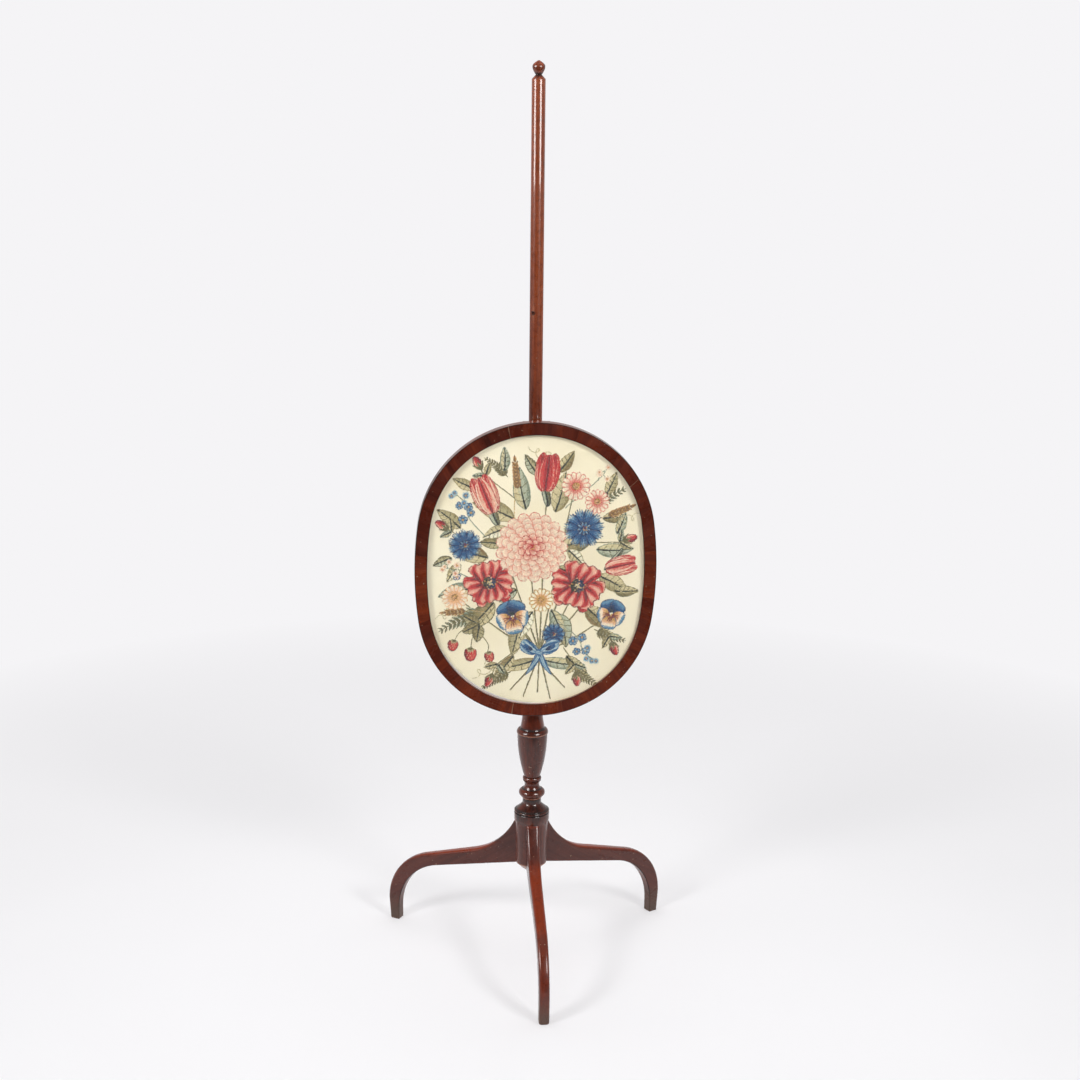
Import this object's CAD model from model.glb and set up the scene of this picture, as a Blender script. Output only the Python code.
# %% [markdown]
# # A pole screen
# A pole screen stood beside a fire and kept its heat off somebody's face. This one has a mahogany
# tripod with a turned column, a plain pole with a small finial, and an oval frame that holds a
# needlework panel behind glass and slides up and down the pole.
#
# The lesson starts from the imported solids. They say where everything is, so each piece made here is
# drawn straight into its place, in metres.

# %% Load the frame
import math
import bpy
import numpy as np
from mathutils import Matrix, Vector


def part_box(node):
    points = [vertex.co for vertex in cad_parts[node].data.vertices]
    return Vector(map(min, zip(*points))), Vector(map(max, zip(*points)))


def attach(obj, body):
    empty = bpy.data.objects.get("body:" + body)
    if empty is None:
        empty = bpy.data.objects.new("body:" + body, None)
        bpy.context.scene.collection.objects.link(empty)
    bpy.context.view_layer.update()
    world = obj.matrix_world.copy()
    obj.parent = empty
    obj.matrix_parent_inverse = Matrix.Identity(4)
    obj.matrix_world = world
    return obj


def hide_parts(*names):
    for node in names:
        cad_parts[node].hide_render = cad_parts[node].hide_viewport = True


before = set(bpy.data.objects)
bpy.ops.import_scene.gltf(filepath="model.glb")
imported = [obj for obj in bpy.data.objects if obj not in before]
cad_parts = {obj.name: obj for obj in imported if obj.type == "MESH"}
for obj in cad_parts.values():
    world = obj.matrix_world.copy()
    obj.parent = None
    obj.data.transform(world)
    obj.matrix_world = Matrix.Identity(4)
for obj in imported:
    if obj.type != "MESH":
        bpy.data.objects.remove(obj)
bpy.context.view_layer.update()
MM = 0.001

# %% [markdown]
# ## Measures
# Two measures are read from the boxes of the solids: the pole's box gives the axis that all the turned
# work is spun about, and the frame's boxes give the oval. Sizes that no box shows, such as the radii of
# an outline, are named where they are first used.

# %% Read the axis and the oval
pole_low, pole_high = (Vector(c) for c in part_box("pole"))
AXIS = Vector(((pole_low.x + pole_high.x) / 2, (pole_low.y + pole_high.y) / 2, 0))
UP, RIGHT, BACK = (0, 0, 1), (1, 0, 0), (0, 1, 0)
oval_low = Vector((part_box("frame_left")[0][0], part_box("veneer_01")[0][1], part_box("frame_bottom")[0][2]))
oval_high = Vector((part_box("frame_right")[1][0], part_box("frame_top")[1][1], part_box("frame_top")[1][2]))
OVAL = Vector((AXIS.x, oval_low.y, (oval_low.z + oval_high.z) / 2))
HALF_W = (oval_high.x - oval_low.x) / 2 / MM
HALF_H = (oval_high.z - oval_low.z) / 2 / MM
print("axis", AXIS, "oval middle", OVAL, "half width and height", round(HALF_W, 2), round(HALF_H, 2))

# %% [markdown]
# ## Camera
# The camera comes first, because every later choice is judged through it. It stands a little left of
# the front and a little above the middle, and looks down at the screen, with a long lens.

# %% Camera
VIEW_TURN, VIEW_PITCH, VIEW_ROLL, VIEW_AIM = -5.06, 14.75, 0.6, -0.03
VIEW_AWAY, VIEW_SIDE, VIEW_HEIGHT, VIEW_LENS, SENSOR = 2.870, 0.0074, 1.450, 63.47, 36


def turned(degrees, axis):
    """A turn round one of the three axes."""
    return Matrix.Rotation(math.radians(degrees), 4, axis)


lens = bpy.data.cameras.new("camera")
lens.lens = VIEW_LENS
lens.sensor_width = SENSOR
camera = bpy.data.objects.new("camera", lens)
bpy.context.collection.objects.link(camera)
stand_point = turned(VIEW_TURN, "Z") @ Vector((VIEW_SIDE, -VIEW_AWAY, VIEW_HEIGHT)) + AXIS
camera.matrix_world = (Matrix.Translation(stand_point) @ turned(VIEW_TURN + VIEW_AIM, "Z")
                       @ turned(90 - VIEW_PITCH, "X") @ turned(VIEW_ROLL, "Z"))
bpy.context.scene.camera = camera
bpy.context.scene.view_settings.view_transform = "Standard"
print("camera at", [round(x, 3) for x in stand_point])

# %% [markdown]
# ## Operators, as by hand
# Every operator works on what is selected, so a few helpers clear the selection, pick one object and
# open it for editing. `trace` is the pencil: it adds a plane, merges it to one point, and extrudes
# that point along a line. From such a line come the turned pieces (by spinning it), the legs (by
# filling and extruding it) and the oval rings (by sweeping it).

# %% Helpers for the selection
def put_down():
    """Leave edit mode with nothing selected."""
    if bpy.context.object and bpy.context.object.mode != "OBJECT":
        bpy.ops.object.mode_set(mode="OBJECT")
    bpy.ops.object.select_all(action="DESELECT")


def pick_up(obj):
    """Select one object and make it active."""
    put_down()
    obj.select_set(True)
    bpy.context.view_layer.objects.active = obj
    return obj


def open_up(obj, kind="VERT", pick="SELECT"):
    """Open one object in edit mode."""
    pick_up(obj)
    bpy.ops.object.mode_set(mode="EDIT")
    bpy.ops.mesh.select_mode(type=kind)
    bpy.ops.mesh.select_all(action=pick)


def pick_parts(obj, kind, wanted):
    """Open an object with those of its vertices, edges or faces selected that wanted says yes to."""
    open_up(obj, kind, "DESELECT")
    bpy.ops.object.mode_set(mode="OBJECT")
    parts = {"VERT": obj.data.vertices, "EDGE": obj.data.edges, "FACE": obj.data.polygons}[kind]
    for part in parts:
        part.select = wanted(part)
    bpy.ops.object.mode_set(mode="EDIT")


print("helpers for the selection ready")


# %% Helpers that draw, copy and clean
def named(obj, name):
    """Give an object and its mesh one name."""
    obj.name = obj.data.name = name
    return obj


def copy_of(obj, name):
    """A copy with a mesh of its own."""
    piece = obj.copy()
    piece.data = obj.data.copy()
    bpy.context.collection.objects.link(piece)
    return named(piece, name)


def trace(name, points, closed=False):
    """Draw a line of edges through points given in metres."""
    put_down()
    bpy.ops.mesh.primitive_plane_add(size=0.01, location=(0, 0, 0))
    obj = named(bpy.context.object, name)
    open_up(obj)
    bpy.ops.mesh.merge(type="CENTER")
    bpy.ops.transform.translate(value=points[0])
    points = list(points) + [points[0]] * closed
    for here, there in zip(points, points[1:]):
        bpy.ops.mesh.extrude_vertices_move(TRANSFORM_OT_translate={"value": Vector(there) - Vector(here)})
    bpy.ops.mesh.select_all(action="SELECT")
    bpy.ops.mesh.remove_doubles(threshold=1e-7)
    bpy.ops.mesh.select_all(action="SELECT")
    return obj


SEAM = 2e-6     # metres: points closer than this are one


def tidy_up(obj, smooth=32.0):
    """Close the seams, point the faces outwards and shade by angle."""
    open_up(obj)
    bpy.ops.mesh.remove_doubles(threshold=SEAM)
    bpy.ops.mesh.normals_make_consistent(inside=False)
    pick_up(obj)
    bpy.ops.object.shade_smooth_by_angle(angle=math.radians(smooth))
    put_down()
    return obj


def put_on(obj, kind, **settings):
    """Add a modifier, set it, and apply it."""
    pick_up(obj)
    bpy.ops.object.modifier_add(type=kind)
    modifier = obj.modifiers[-1]
    for name, value in settings.items():
        setattr(modifier, name, value)
    bpy.ops.object.modifier_apply(modifier=modifier.name)
    return obj


print("helpers that draw, copy and clean ready")

# %% [markdown]
# ## Marks for the finishes
# Wood has a direction, and edges wear while corners keep their dirt. Both are stored on the mesh as
# attributes, so that one mahogany can serve every piece: `grain` holds a place inside the plank, with
# the grain along its first number, `edge` says how far a point stands out (or sits in) and `tone`
# makes one board a little lighter or darker than the next.

# %% Grain, edge and tone
EVEN = 0.4


def points_of(obj):
    """All vertices as rows of x, y and z."""
    flat = np.empty(len(obj.data.vertices) * 3)
    obj.data.vertices.foreach_get("co", flat)
    return flat.reshape(-1, 3)


def mark(obj, name, values, kind="FLOAT"):
    """Store one number, or one vector, for each vertex."""
    layer = obj.data.attributes.get(name) or obj.data.attributes.new(name, kind, "POINT")
    layer.data.foreach_set("value" if kind == "FLOAT" else "vector",
                           np.ascontiguousarray(values, float).ravel())


def mark_edges(obj, rounds=1, rubbed=0.0):
    """Store how far each vertex stands out from its neighbours: above 0 on edges, below 0 in corners.

    The value is evened out with the neighbours some rounds, and rubbed is added for wear set by hand.
    """
    place = points_of(obj)
    normal = np.empty(place.size)
    obj.data.vertices.foreach_get("normal", normal)
    normal = normal.reshape(-1, 3)
    ends = np.empty(len(obj.data.edges) * 2, int)
    obj.data.edges.foreach_get("vertices", ends)
    a, b = ends.reshape(-1, 2).T
    reach = place[b] - place[a]
    reach /= np.maximum(np.linalg.norm(reach, axis=1), 1e-9)[:, None]
    total, count = np.zeros(len(place)), np.zeros(len(place))
    np.add.at(total, a, -(normal[a] * reach).sum(1))
    np.add.at(total, b, (normal[b] * reach).sum(1))
    np.add.at(count, a, 1)
    np.add.at(count, b, 1)
    out = total / np.maximum(count, 1)
    for _ in range(rounds):
        near = np.zeros(len(place))
        np.add.at(near, a, out[b])
        np.add.at(near, b, out[a])
        out = (1 - EVEN) * out + EVEN * near / np.maximum(count, 1)
    mark(obj, "edge", out + rubbed)


def mark_grain(obj, along, across, through, shift=(0, 0, 0), tone=0.5, rounds=1, rubbed=0.0):
    """Store the plank's directions, the worn edges and the board's tone."""
    place = points_of(obj)
    axes = np.array([along, across, through], float).T
    mark(obj, "grain", place @ axes + np.array(shift), "FLOAT_VECTOR")
    mark(obj, "tone", np.full(len(place), 1.0) * tone)
    if "edge" not in obj.data.attributes:
        mark_edges(obj, rounds, rubbed)


print("marks: grain, edge, tone")

# %% [markdown]
# ## Node helpers
# A finish is a small tree of nodes. `add` makes one node: settings go in by name, and each input is
# given either a value or the output that feeds it. Colours are written as they look on the screen,
# from 0 to 255, and turned into the linear numbers that the renderer needs.

# %% Helpers for nodes
def paint(*rgb):
    """A screen colour as linear numbers."""
    shares = [c / 255 for c in rgb]
    return tuple(v / 12.92 if v <= 0.04045 else ((v + 0.055) / 1.055) ** 2.4 for v in shares) + (1,)


def add(tree, kind, inputs=(), **settings):
    """Add a node with its settings, and set or feed its inputs."""
    node = tree.nodes.new("ShaderNode" + kind)
    for name, value in settings.items():
        setattr(node, name, value)
    for key, value in dict(inputs).items():
        socket = node.inputs[key]
        if isinstance(value, bpy.types.NodeSocket):
            tree.links.new(value, socket)
        else:
            socket.default_value = value
    return node


def noise(tree, where, scale, detail=3.0, rough=0.55, warp=0.0):
    return add(tree, "TexNoise", {"Vector": where, "Scale": scale, "Detail": detail,
                                  "Roughness": rough, "Distortion": warp}).outputs[0]


def stretch(tree, where, x, y, z):
    return add(tree, "Mapping", {"Vector": where, "Scale": (x, y, z)}).outputs[0]


def between(tree, value, low, high, to_low=0.0, to_high=1.0):
    """Map a value from low..high to to_low..to_high, and stop at both ends."""
    return add(tree, "MapRange", {0: value, 1: low, 2: high, 3: to_low, 4: to_high}, clamp=True).outputs[0]


def sums(tree, how, a, b=0.0):
    return add(tree, "Math", {0: a, 1: b}, operation=how).outputs[0]


def times(tree, a, b):
    return sums(tree, "MULTIPLY", a, b)


def plus(tree, a, b):
    return sums(tree, "ADD", a, b)


def minus(tree, a, b):
    return sums(tree, "SUBTRACT", a, b)


def blend(tree, share, a, b):
    """Mix two colours."""
    return add(tree, "Mix", {0: share, 6: a, 7: b}, data_type="RGBA").outputs[2]


print("helpers for nodes ready")


# %% Helpers for groups and finishes
def group(name, takes, gives):
    """Start a node group with named inputs and outputs."""
    tree = bpy.data.node_groups.new(name, "ShaderNodeTree")
    for title, kind in takes:
        tree.interface.new_socket(title, in_out="INPUT", socket_type="NodeSocket" + kind)
    for title, kind in gives:
        tree.interface.new_socket(title, in_out="OUTPUT", socket_type="NodeSocket" + kind)
    return tree, tree.nodes.new("NodeGroupInput").outputs, tree.nodes.new("NodeGroupOutput").inputs


def give(tree, gives, **values):
    """Feed the outputs of a group."""
    for title, value in values.items():
        tree.links.new(value, gives[title])


def use(tree, effect, inputs):
    """Add a group and return its outputs."""
    return add(tree, "Group", inputs, node_tree=effect).outputs


def finish(name, **sockets):
    """A new material with plain values on its shader; returns the material, its tree and the shader."""
    material = bpy.data.materials.new(name)
    material.use_nodes = True
    shader = material.node_tree.nodes["Principled BSDF"]
    for key, value in sockets.items():
        shader.inputs[key.replace("_", " ")].default_value = value
    return material, material.node_tree, shader


def feed(tree, shader, **sockets):
    """Link outputs to the shader's inputs."""
    for key, value in sockets.items():
        tree.links.new(value, shader.inputs[key.replace("_", " ")])


def paint_over(material, mask, colour):
    """Lay one more colour over a finish, where the mask says so."""
    tree = material.node_tree
    shader = tree.nodes["Principled BSDF"]
    had = shader.inputs["Base Color"].links[0].from_socket
    feed(tree, shader, Base_Color=blend(tree, mask, had, colour))


def bumped(tree, height, strength, distance):
    return add(tree, "Bump", {"Height": height, "Strength": strength, "Distance": distance}).outputs[0]


def stored(tree, name, output):
    """A mark that was stored on the mesh."""
    return add(tree, "Attribute", attribute_name=name).outputs[output]


def inside(tree):
    """The place in the object's own coordinates."""
    return add(tree, "TexCoord").outputs["Object"]


def distance(tree, point):
    return add(tree, "VectorMath", {0: inside(tree), 1: tuple(point)}, operation="DISTANCE").outputs["Value"]


def rays(tree):
    """What kind of ray asks, and whether it comes from the camera, straight or through glass."""
    path = add(tree, "LightPath").outputs
    return path, sums(tree, "MAXIMUM", path["Is Camera Ray"], path["Is Transmission Ray"])


def show(tree, shader):
    tree.links.new(shader, tree.nodes["Material Output"].inputs["Surface"])


print("helpers for groups and finishes ready")


# %% [markdown]
# ## Floor and light
# The room is a pale floor that runs on out of sight. Near the screen it takes shadows, and further off
# it turns into plain backdrop. Rays that don't come from the camera find it dark in front of the screen,
# so that polished wood has something dark to mirror.

# %% Floor
BACKDROP = paint(245, 244, 246)
FLOOR_R, NEAR, FAR = 14, 0.75, 1.9
MIRROR_NEAR, MIRROR_FAR, MIRROR_LEFT = 2.4, 4.5, 0.12
FRONT_FROM, FRONT_TO, BEHIND_TO = -0.6, -1.0, 0.4
put_down()
bpy.ops.mesh.primitive_circle_add(vertices=128, radius=FLOOR_R, fill_type="NGON", location=(0, 0, 0))
floor = named(bpy.context.object, "floor")
floor_finish, tree, shader = finish("floor_paper", Roughness=0.85, Specular_IOR_Level=0.2)
place, away = inside(tree), distance(tree, AXIS)
forward = add(tree, "SeparateXYZ", {0: place}).outputs["Y"]
path, seen = rays(tree)
paper = blend(tree, noise(tree, place, 2.2, 2.0), paint(243, 242, 244), paint(247, 246, 248))
unlit = times(tree, between(tree, forward, FRONT_FROM, FRONT_TO), minus(tree, 1.0, seen))
feed(tree, shader, Base_Color=blend(tree, unlit, paper, paint(70, 66, 64)))
mirrored = times(tree, between(tree, away, NEAR, FAR),
                 between(tree, away, MIRROR_NEAR, MIRROR_FAR, 1.0, MIRROR_LEFT))
behind = times(tree, path["Is Glossy Ray"], between(tree, forward, FRONT_FROM, BEHIND_TO))
share = sums(tree, "MAXIMUM", times(tree, between(tree, away, NEAR, FAR, 0.05, 1.0), seen),
             times(tree, mirrored, behind))
glow = add(tree, "Emission", {"Color": BACKDROP, "Strength": 1.0}).outputs[0]
show(tree, add(tree, "MixShader", {0: share, 1: shader.outputs[0], 2: glow}).outputs[0])
floor.data.materials.append(floor_finish)
print("floor radius", FLOOR_R)

# %% [markdown]
# Two small lamps stand to the left and right of the front and give the light and the two soft shadows.
# They are hidden from reflections, because two tall strips beside them are what polished wood and brass
# mirror as long soft highlights. The strips are linked to the collection `polished` alone, so they don't
# light the panel a second time. A wide fill overhead casts no shadow and isn't reflected.

# %% Lamps
LAMP_AWAY, LAMP_HEIGHT, LAMP_AIM, LAMP_SIZE, LAMP_POWER = 2.4, 1.9, 0.45, 0.55, 18
STRIP_HEIGHT, STRIP_AIM, STRIP_WIDE, STRIP_TALL, STRIP_POWER = 1.85, 1.55, 1.1, 1.6, 95
FILL_AT, FILL_AIM, FILL_SIZE, FILL_POWER = (0, 0.5, 3.2), (0, 0.3, 0), 2.4, 72


def softbox(name, at, to, wide, tall, power):
    """A lamp with a rectangle for its face, aimed at a place."""
    lamp = bpy.data.lights.new(name, "AREA")
    lamp.shape, lamp.size, lamp.size_y, lamp.energy = "RECTANGLE", wide, tall, power
    obj = bpy.data.objects.new(name, lamp)
    aim = (Vector(to) - Vector(at)).to_track_quat("-Z", "Y")
    obj.matrix_world = Matrix.Translation(at) @ aim.to_matrix().to_4x4()
    bpy.context.collection.objects.link(obj)
    return obj


def beside(degrees, height):
    """A place at the lamps' distance, turned to one side of the camera."""
    return turned(VIEW_TURN + degrees, "Z") @ Vector((0, -LAMP_AWAY, height)) + AXIS


polished = bpy.data.collections.new("polished")
for side, lamp_turn, strip_turn in (("left", -45, -58), ("right", 40, 40)):
    key = softbox("softbox_" + side, beside(lamp_turn, LAMP_HEIGHT), AXIS + Vector((0, 0, LAMP_AIM)),
                  LAMP_SIZE, LAMP_SIZE, LAMP_POWER)
    key.visible_glossy = False
    strip = softbox("strip_" + side, beside(strip_turn, STRIP_HEIGHT), AXIS + Vector((0, 0, STRIP_AIM)),
                    STRIP_WIDE, STRIP_TALL, STRIP_POWER)
    strip.visible_diffuse = strip.visible_transmission = False
    strip.light_linking.receiver_collection = polished
fill = softbox("softbox_top", FILL_AT, FILL_AIM, FILL_SIZE, FILL_SIZE, FILL_POWER)
fill.visible_glossy = fill.data.use_shadow = False

# %% [markdown]
# The room itself is bright at the back and dim behind the camera and overhead, which keeps polished wood
# dark when it is seen from the front. The camera sees only the backdrop's white.

# %% Room
DIM, BRIGHT, OVERHEAD = 0.10, 0.62, 0.3
room = bpy.data.worlds.new("room")
bpy.context.scene.world = room
room.use_nodes = True
tree = room.node_tree
facing = add(tree, "SeparateXYZ", {0: add(tree, "TexCoord").outputs["Generated"]}).outputs
level = times(tree, between(tree, facing["Y"], -0.8, 0.3, DIM, BRIGHT),
              between(tree, facing["Z"], 0.35, 0.8, 1.0, OVERHEAD))
grey = add(tree, "CombineColor", {0: level, 1: level, 2: level}).outputs[0]
path, seen = rays(tree)
room_light = tree.nodes["Background"]
tree.links.new(blend(tree, seen, grey, BACKDROP), room_light.inputs["Color"])
room_light.inputs["Strength"].default_value = 1.0
print("room from", DIM, "to", BRIGHT)

# %% [markdown]
# ## Mahogany
# Old mahogany is several things at once: broad bands of darker and lighter wood, finer streaks along
# the grain, and short dark pores. All of them are noise, drawn out along the plank. The polish lies
# on top as a thin clear coat, worn away where hands and feet have rubbed the edges and dirty where
# dusters never reach. Figure and wear are node groups, since every wooden piece uses them.

# %% Wood groups
tree, takes, gives = group("Plank figure", [("Grain", "Vector"), ("Tone", "Float"), ("Dark", "Color"),
                                            ("Body", "Color"), ("Light", "Color")],
                           [("Colour", "Color"), ("Height", "Float")])
grain = takes["Grain"]
bands = noise(tree, stretch(tree, grain, 4, 42, 42), 1.0, 3.0, 0.55, 0.6)
streaks = noise(tree, stretch(tree, grain, 9, 320, 320), 1.0, 4.0, 0.65, 0.3)
pores = between(tree, noise(tree, stretch(tree, grain, 90, 1500, 1500), 1.0, 2.0, 0.5), 0.60, 0.72)
mood = plus(tree, times(tree, bands, 0.62), times(tree, streaks, 0.38))
mood = plus(tree, mood, times(tree, minus(tree, takes["Tone"], 0.5), 0.42))
wood = blend(tree, between(tree, mood, 0.28, 0.50), takes["Dark"], takes["Body"])
wood = blend(tree, between(tree, mood, 0.50, 0.78), wood, takes["Light"])
wood = blend(tree, times(tree, pores, 0.55), wood, takes["Dark"])
give(tree, gives, Colour=wood, Height=minus(tree, times(tree, streaks, 0.35), pores))
PLANK = tree

tree, takes, gives = group("Edge wear", [("Edge", "Float"), ("Place", "Vector")],
                           [(title, "Float") for title in ("Wear", "Grime", "Smear", "Nicks", "Mottle")])
place = takes["Place"]
patch = minus(tree, noise(tree, place, 70, 4.0, 0.65), 0.5)
rubbed = plus(tree, takes["Edge"], times(tree, patch, 0.22))
caught = plus(tree, takes["Edge"], times(tree, patch, 0.05))
give(tree, gives, Wear=between(tree, rubbed, 0.05, 0.26), Grime=between(tree, caught, -0.02, -0.11),
     Smear=noise(tree, place, 24, 5.0, 0.7, 0.8),
     Nicks=between(tree, noise(tree, place, 240, 1.0), 0.75, 0.78),
     Mottle=between(tree, noise(tree, place, 130, 6.0, 0.75, 0.4), 0.5, 0.66))
EDGE_WEAR = tree
print("groups", PLANK.name, "and", EDGE_WEAR.name)

# %% Wood finishes
GRIME, DUST, BARE_WOOD, STAIN = paint(26, 14, 11), paint(98, 84, 74), paint(176, 140, 116), paint(34, 18, 13)
SCUFF_TOP, SCUFF_LOW = 0.062, 0.018


def polished_wood(name, dark, body, light, worn, coat, wear=0.7, scuffed=0.0, rubbed_coat=0.6, mottle=0.2):
    """Mahogany from four colours, with its coat, its worn edges and coat there, scuffed feet and mottle."""
    dark, body, light, worn = (paint(*rgb) for rgb in (dark, body, light, worn))
    material, tree, shader = finish(name, Coat_Roughness=0.06, Coat_IOR=1.55, Specular_IOR_Level=0.2)
    plank = use(tree, PLANK, {"Grain": stored(tree, "grain", "Vector"), "Tone": stored(tree, "tone", "Fac"),
                              "Dark": dark, "Body": body, "Light": light})
    marks = use(tree, EDGE_WEAR, {"Edge": stored(tree, "edge", "Fac"), "Place": inside(tree)})
    low = plus(tree, add(tree, "SeparateXYZ", {0: inside(tree)}).outputs["Z"],
               times(tree, marks["Smear"], 0.02))
    feet = times(tree, between(tree, low, SCUFF_TOP, SCUFF_LOW), scuffed)
    colour = plank["Colour"]
    for share, over in ((times(tree, marks["Wear"], wear), worn), (times(tree, marks["Mottle"], mottle), dark),
                        (times(tree, marks["Grime"], 0.85), GRIME), (feet, DUST),
                        (times(tree, marks["Nicks"], 0.7), BARE_WOOD)):
        colour = blend(tree, share, colour, over)
    dull = plus(tree, between(tree, marks["Smear"], 0.3, 0.7, 0.2, 0.42), times(tree, marks["Grime"], 0.25))
    shine = times(tree, between(tree, marks["Wear"], 0, 1, coat, rubbed_coat), minus(tree, 1.0, feet))
    feed(tree, shader, Base_Color=colour, Roughness=dull, Coat_Weight=shine,
         Normal=bumped(tree, plank["Height"], 0.06, 0.0004))
    return material


mahogany = polished_wood("mahogany", (40, 15, 9), (102, 40, 21), (144, 64, 36), (176, 116, 90), 0.6)
pole_wood = polished_wood("mahogany_pole", (84, 36, 24), (158, 76, 46), (190, 98, 58), (198, 122, 84), 0.7,
                          mottle=0.55)
leg_wood = polished_wood("mahogany_legs", (68, 30, 23), (96, 46, 36), (116, 60, 44), (138, 47, 10), 0.36,
                         wear=0.9, scuffed=0.8, rubbed_coat=0.36, mottle=0.4)
veneer_wood = polished_wood("crossband_veneer", (62, 20, 12), (103, 40, 25), (146, 62, 33), (132, 74, 50), 0.55,
                            wear=0.35, mottle=0.1)
print("wood finishes", [m.name for m in (mahogany, pole_wood, leg_wood, veneer_wood)])

# %% [markdown]
# ## Turned column
# The column was turned on a lathe: a low boss under the hub, then hub, moulded band, bell, bead,
# astragal, vase and neck. A lathe is Blender's spin, so its outline is drawn once, from the boss to the
# top, and spun round the axis. The sharp arrises are eased by a fraction of a millimetre, because a bare
# corner never catches light. Dirt stays in the quirks between the mouldings and three arrises are rubbed
# pale, and both are marked by their height.

# %% Mouldings
def steps(n):
    """Even steps from 0 to 1."""
    return [i / n for i in range(n + 1)]


def bead(r, z, h):
    """A half-round that stands out to r."""
    return [(r - h / 2 * (1 - math.sin(math.pi * t)), z + h / 2 * (1 - math.cos(math.pi * t)))
            for t in steps(16)]


def ovolo(r0, r1, z, h):
    """A quarter-round that swells from r1 at its foot in to r0 at its top."""
    return [(r0 + (r1 - r0) * math.cos(math.pi / 2 * t), z + h * math.sin(math.pi / 2 * t)) for t in steps(16)]


def flare(r0, r1, z, h):
    """A slow hollow that spreads from r0 at its foot to r1 at its top."""
    return [(r0 + (r1 - r0) * t * t, z + h * t) for t in steps(8)]


def cone(r0, r1, z, h):
    """A straight slope from r0 in to r1, with a short hollow where it ends."""
    return [(r1 + (r0 - r1) * (1 - t) ** 1.25, z + h * t) for t in steps(16)]


def hollow(r, deep, z, h):
    """A waist that draws in from r to deep and out again."""
    return [(deep + (r - deep) * (2 * t - 1) ** 2, z + h * t) for t in steps(14)]


def swell(r0, r1, z, h):
    """The slow curve of a vase, upright at its top."""
    big = (h * h + (r1 - r0) ** 2) / (2 * (r1 - r0))
    return [(r1 - big + math.sqrt(big * big - (h * (1 - t)) ** 2), z + h * t) for t in steps(22)]


def taper(r0, r1, z, h):
    """A slow hollow that draws in from r0 to r1, upright at its top."""
    return [(r1 + (r0 - r1) * (1 - t) ** 2, z + h * t) for t in steps(12)]


print("mouldings ready")

# %% Outline of the column
SHARP = 24     # degrees: an outline that bends less isn't a corner


def eased(line, by=0.5):
    """Round the sharp corners of an outline by a small curve."""
    line = [Vector(p) for p in line]
    line = [p for p, q in zip(line, line[1:]) if (p - q).length > 1e-4] + [line[-1]]
    out = [line[0]]
    for before, here, after in zip(line, line[1:], line[2:]):
        a, b = before - here, after - here
        bend = math.degrees(math.pi - a.angle(b))
        if bend < SHARP:
            out.append(here)
            continue
        cut = min(by, 0.4 * a.length, 0.4 * b.length)
        start, end = here + a.normalized() * cut, here + b.normalized() * cut
        out += [start.lerp(here, t).lerp(here.lerp(end, t), t) for t in steps(4)]
    return out + [line[-1]]


BOSS_FOOT, HUB_RIM, COLUMN_TOP = 138, 153.5, 428
COLUMN = (
    # boss and hub
    [(0, BOSS_FOOT), (8.5, BOSS_FOOT + 1), (16.5, BOSS_FOOT + 7.2), (23.6, HUB_RIM - 0.9), (24.7, HUB_RIM)]
    + [(24.75, HUB_RIM + 2), (24.8, HUB_RIM + 4), (26.1, 220)]
    # moulded band
    + flare(26.1, 28.2, 220, 9) + [(28.3, 236)] + ovolo(26.8, 28.3, 239.6, 1.6) + bead(28.3, 241.6, 3.8)
    # bell with its fillet
    + [(25.6, 245.8)] + cone(25.6, 14.8, 246.4, 10.6) + [(14.8, 264.6), (16, 266), (16, 267.4)]
    # bead, waist and astragal
    + bead(21, 268, 12.5) + hollow(14.75, 11.65, 280.5, 15) + bead(15, 295.5, 6.5)
    # vase and neck
    + swell(12.8, 24, 302, 73.5) + [(25.2, 376.3)] + ovolo(20, 25.2, 377.6, 6)
    + taper(19.6, 15.3, 384.2, 42.3) + [(13.8, COLUMN_TOP), (0, COLUMN_TOP)])


def turn(name, outline, sides=112):
    """Spin an outline of radius and height, in millimetres, round the pole's axis."""
    obj = trace(name, [(AXIS.x + r * MM, AXIS.y, z * MM) for r, z in eased(outline)])
    bpy.ops.mesh.spin(steps=sides, angle=2 * math.pi, center=AXIS, axis=UP)
    return tidy_up(obj)


print("column outline", len(COLUMN), "points")


# %% Turn the column
def set_out(obj, body, slot, material, *nodes):
    """Give a piece its finish and place it on its body in place of the solids it stands for.

    Polished pieces also join the collection that the tall strips light.
    """
    obj.data.materials.append(material)
    if slot in ("mahogany", "veneer", "brass"):
        polished.objects.link(obj)
    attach(obj, body)
    if nodes:
        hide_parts(*nodes)
    return obj


QUIRKS, DIRT_WIDE, DIRTY = np.array([241.4, 246, 264.6, 268.4, 281, 295.5, 302, 374.6, 384]), 1.2, 0.14
ARRISES, RUB_WIDE, RUBBED = np.array([HUB_RIM, 266.7, 376.6]), 1.1, np.array([0.62, 0.3, 0.5])
AGED_AT, AGED_WIDE, NECK_AT, NECK_RISE = 246, 16, 380, 12
column = turn("turned_column", COLUMN)
column_z = points_of(column)[:, 2] / MM
dirt = np.exp(-((column_z[:, None] - QUIRKS) / DIRT_WIDE) ** 2).max(1)
rim = (RUBBED * np.exp(-((column_z[:, None] - ARRISES) / RUB_WIDE) ** 2)).max(1)
aged = np.exp(-((column_z - AGED_AT) / AGED_WIDE) ** 4)
neck = np.clip((column_z - NECK_AT) / NECK_RISE, 0, 1)
mark_grain(column, UP, RIGHT, BACK, tone=0.4 + 0.3 * neck - 0.22 * aged, rounds=2,
           rubbed=rim - DIRTY * dirt - 0.035 * aged)
set_out(column, "stand", "mahogany", mahogany, "column")
print("column faces", len(column.data.polygons))

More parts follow.
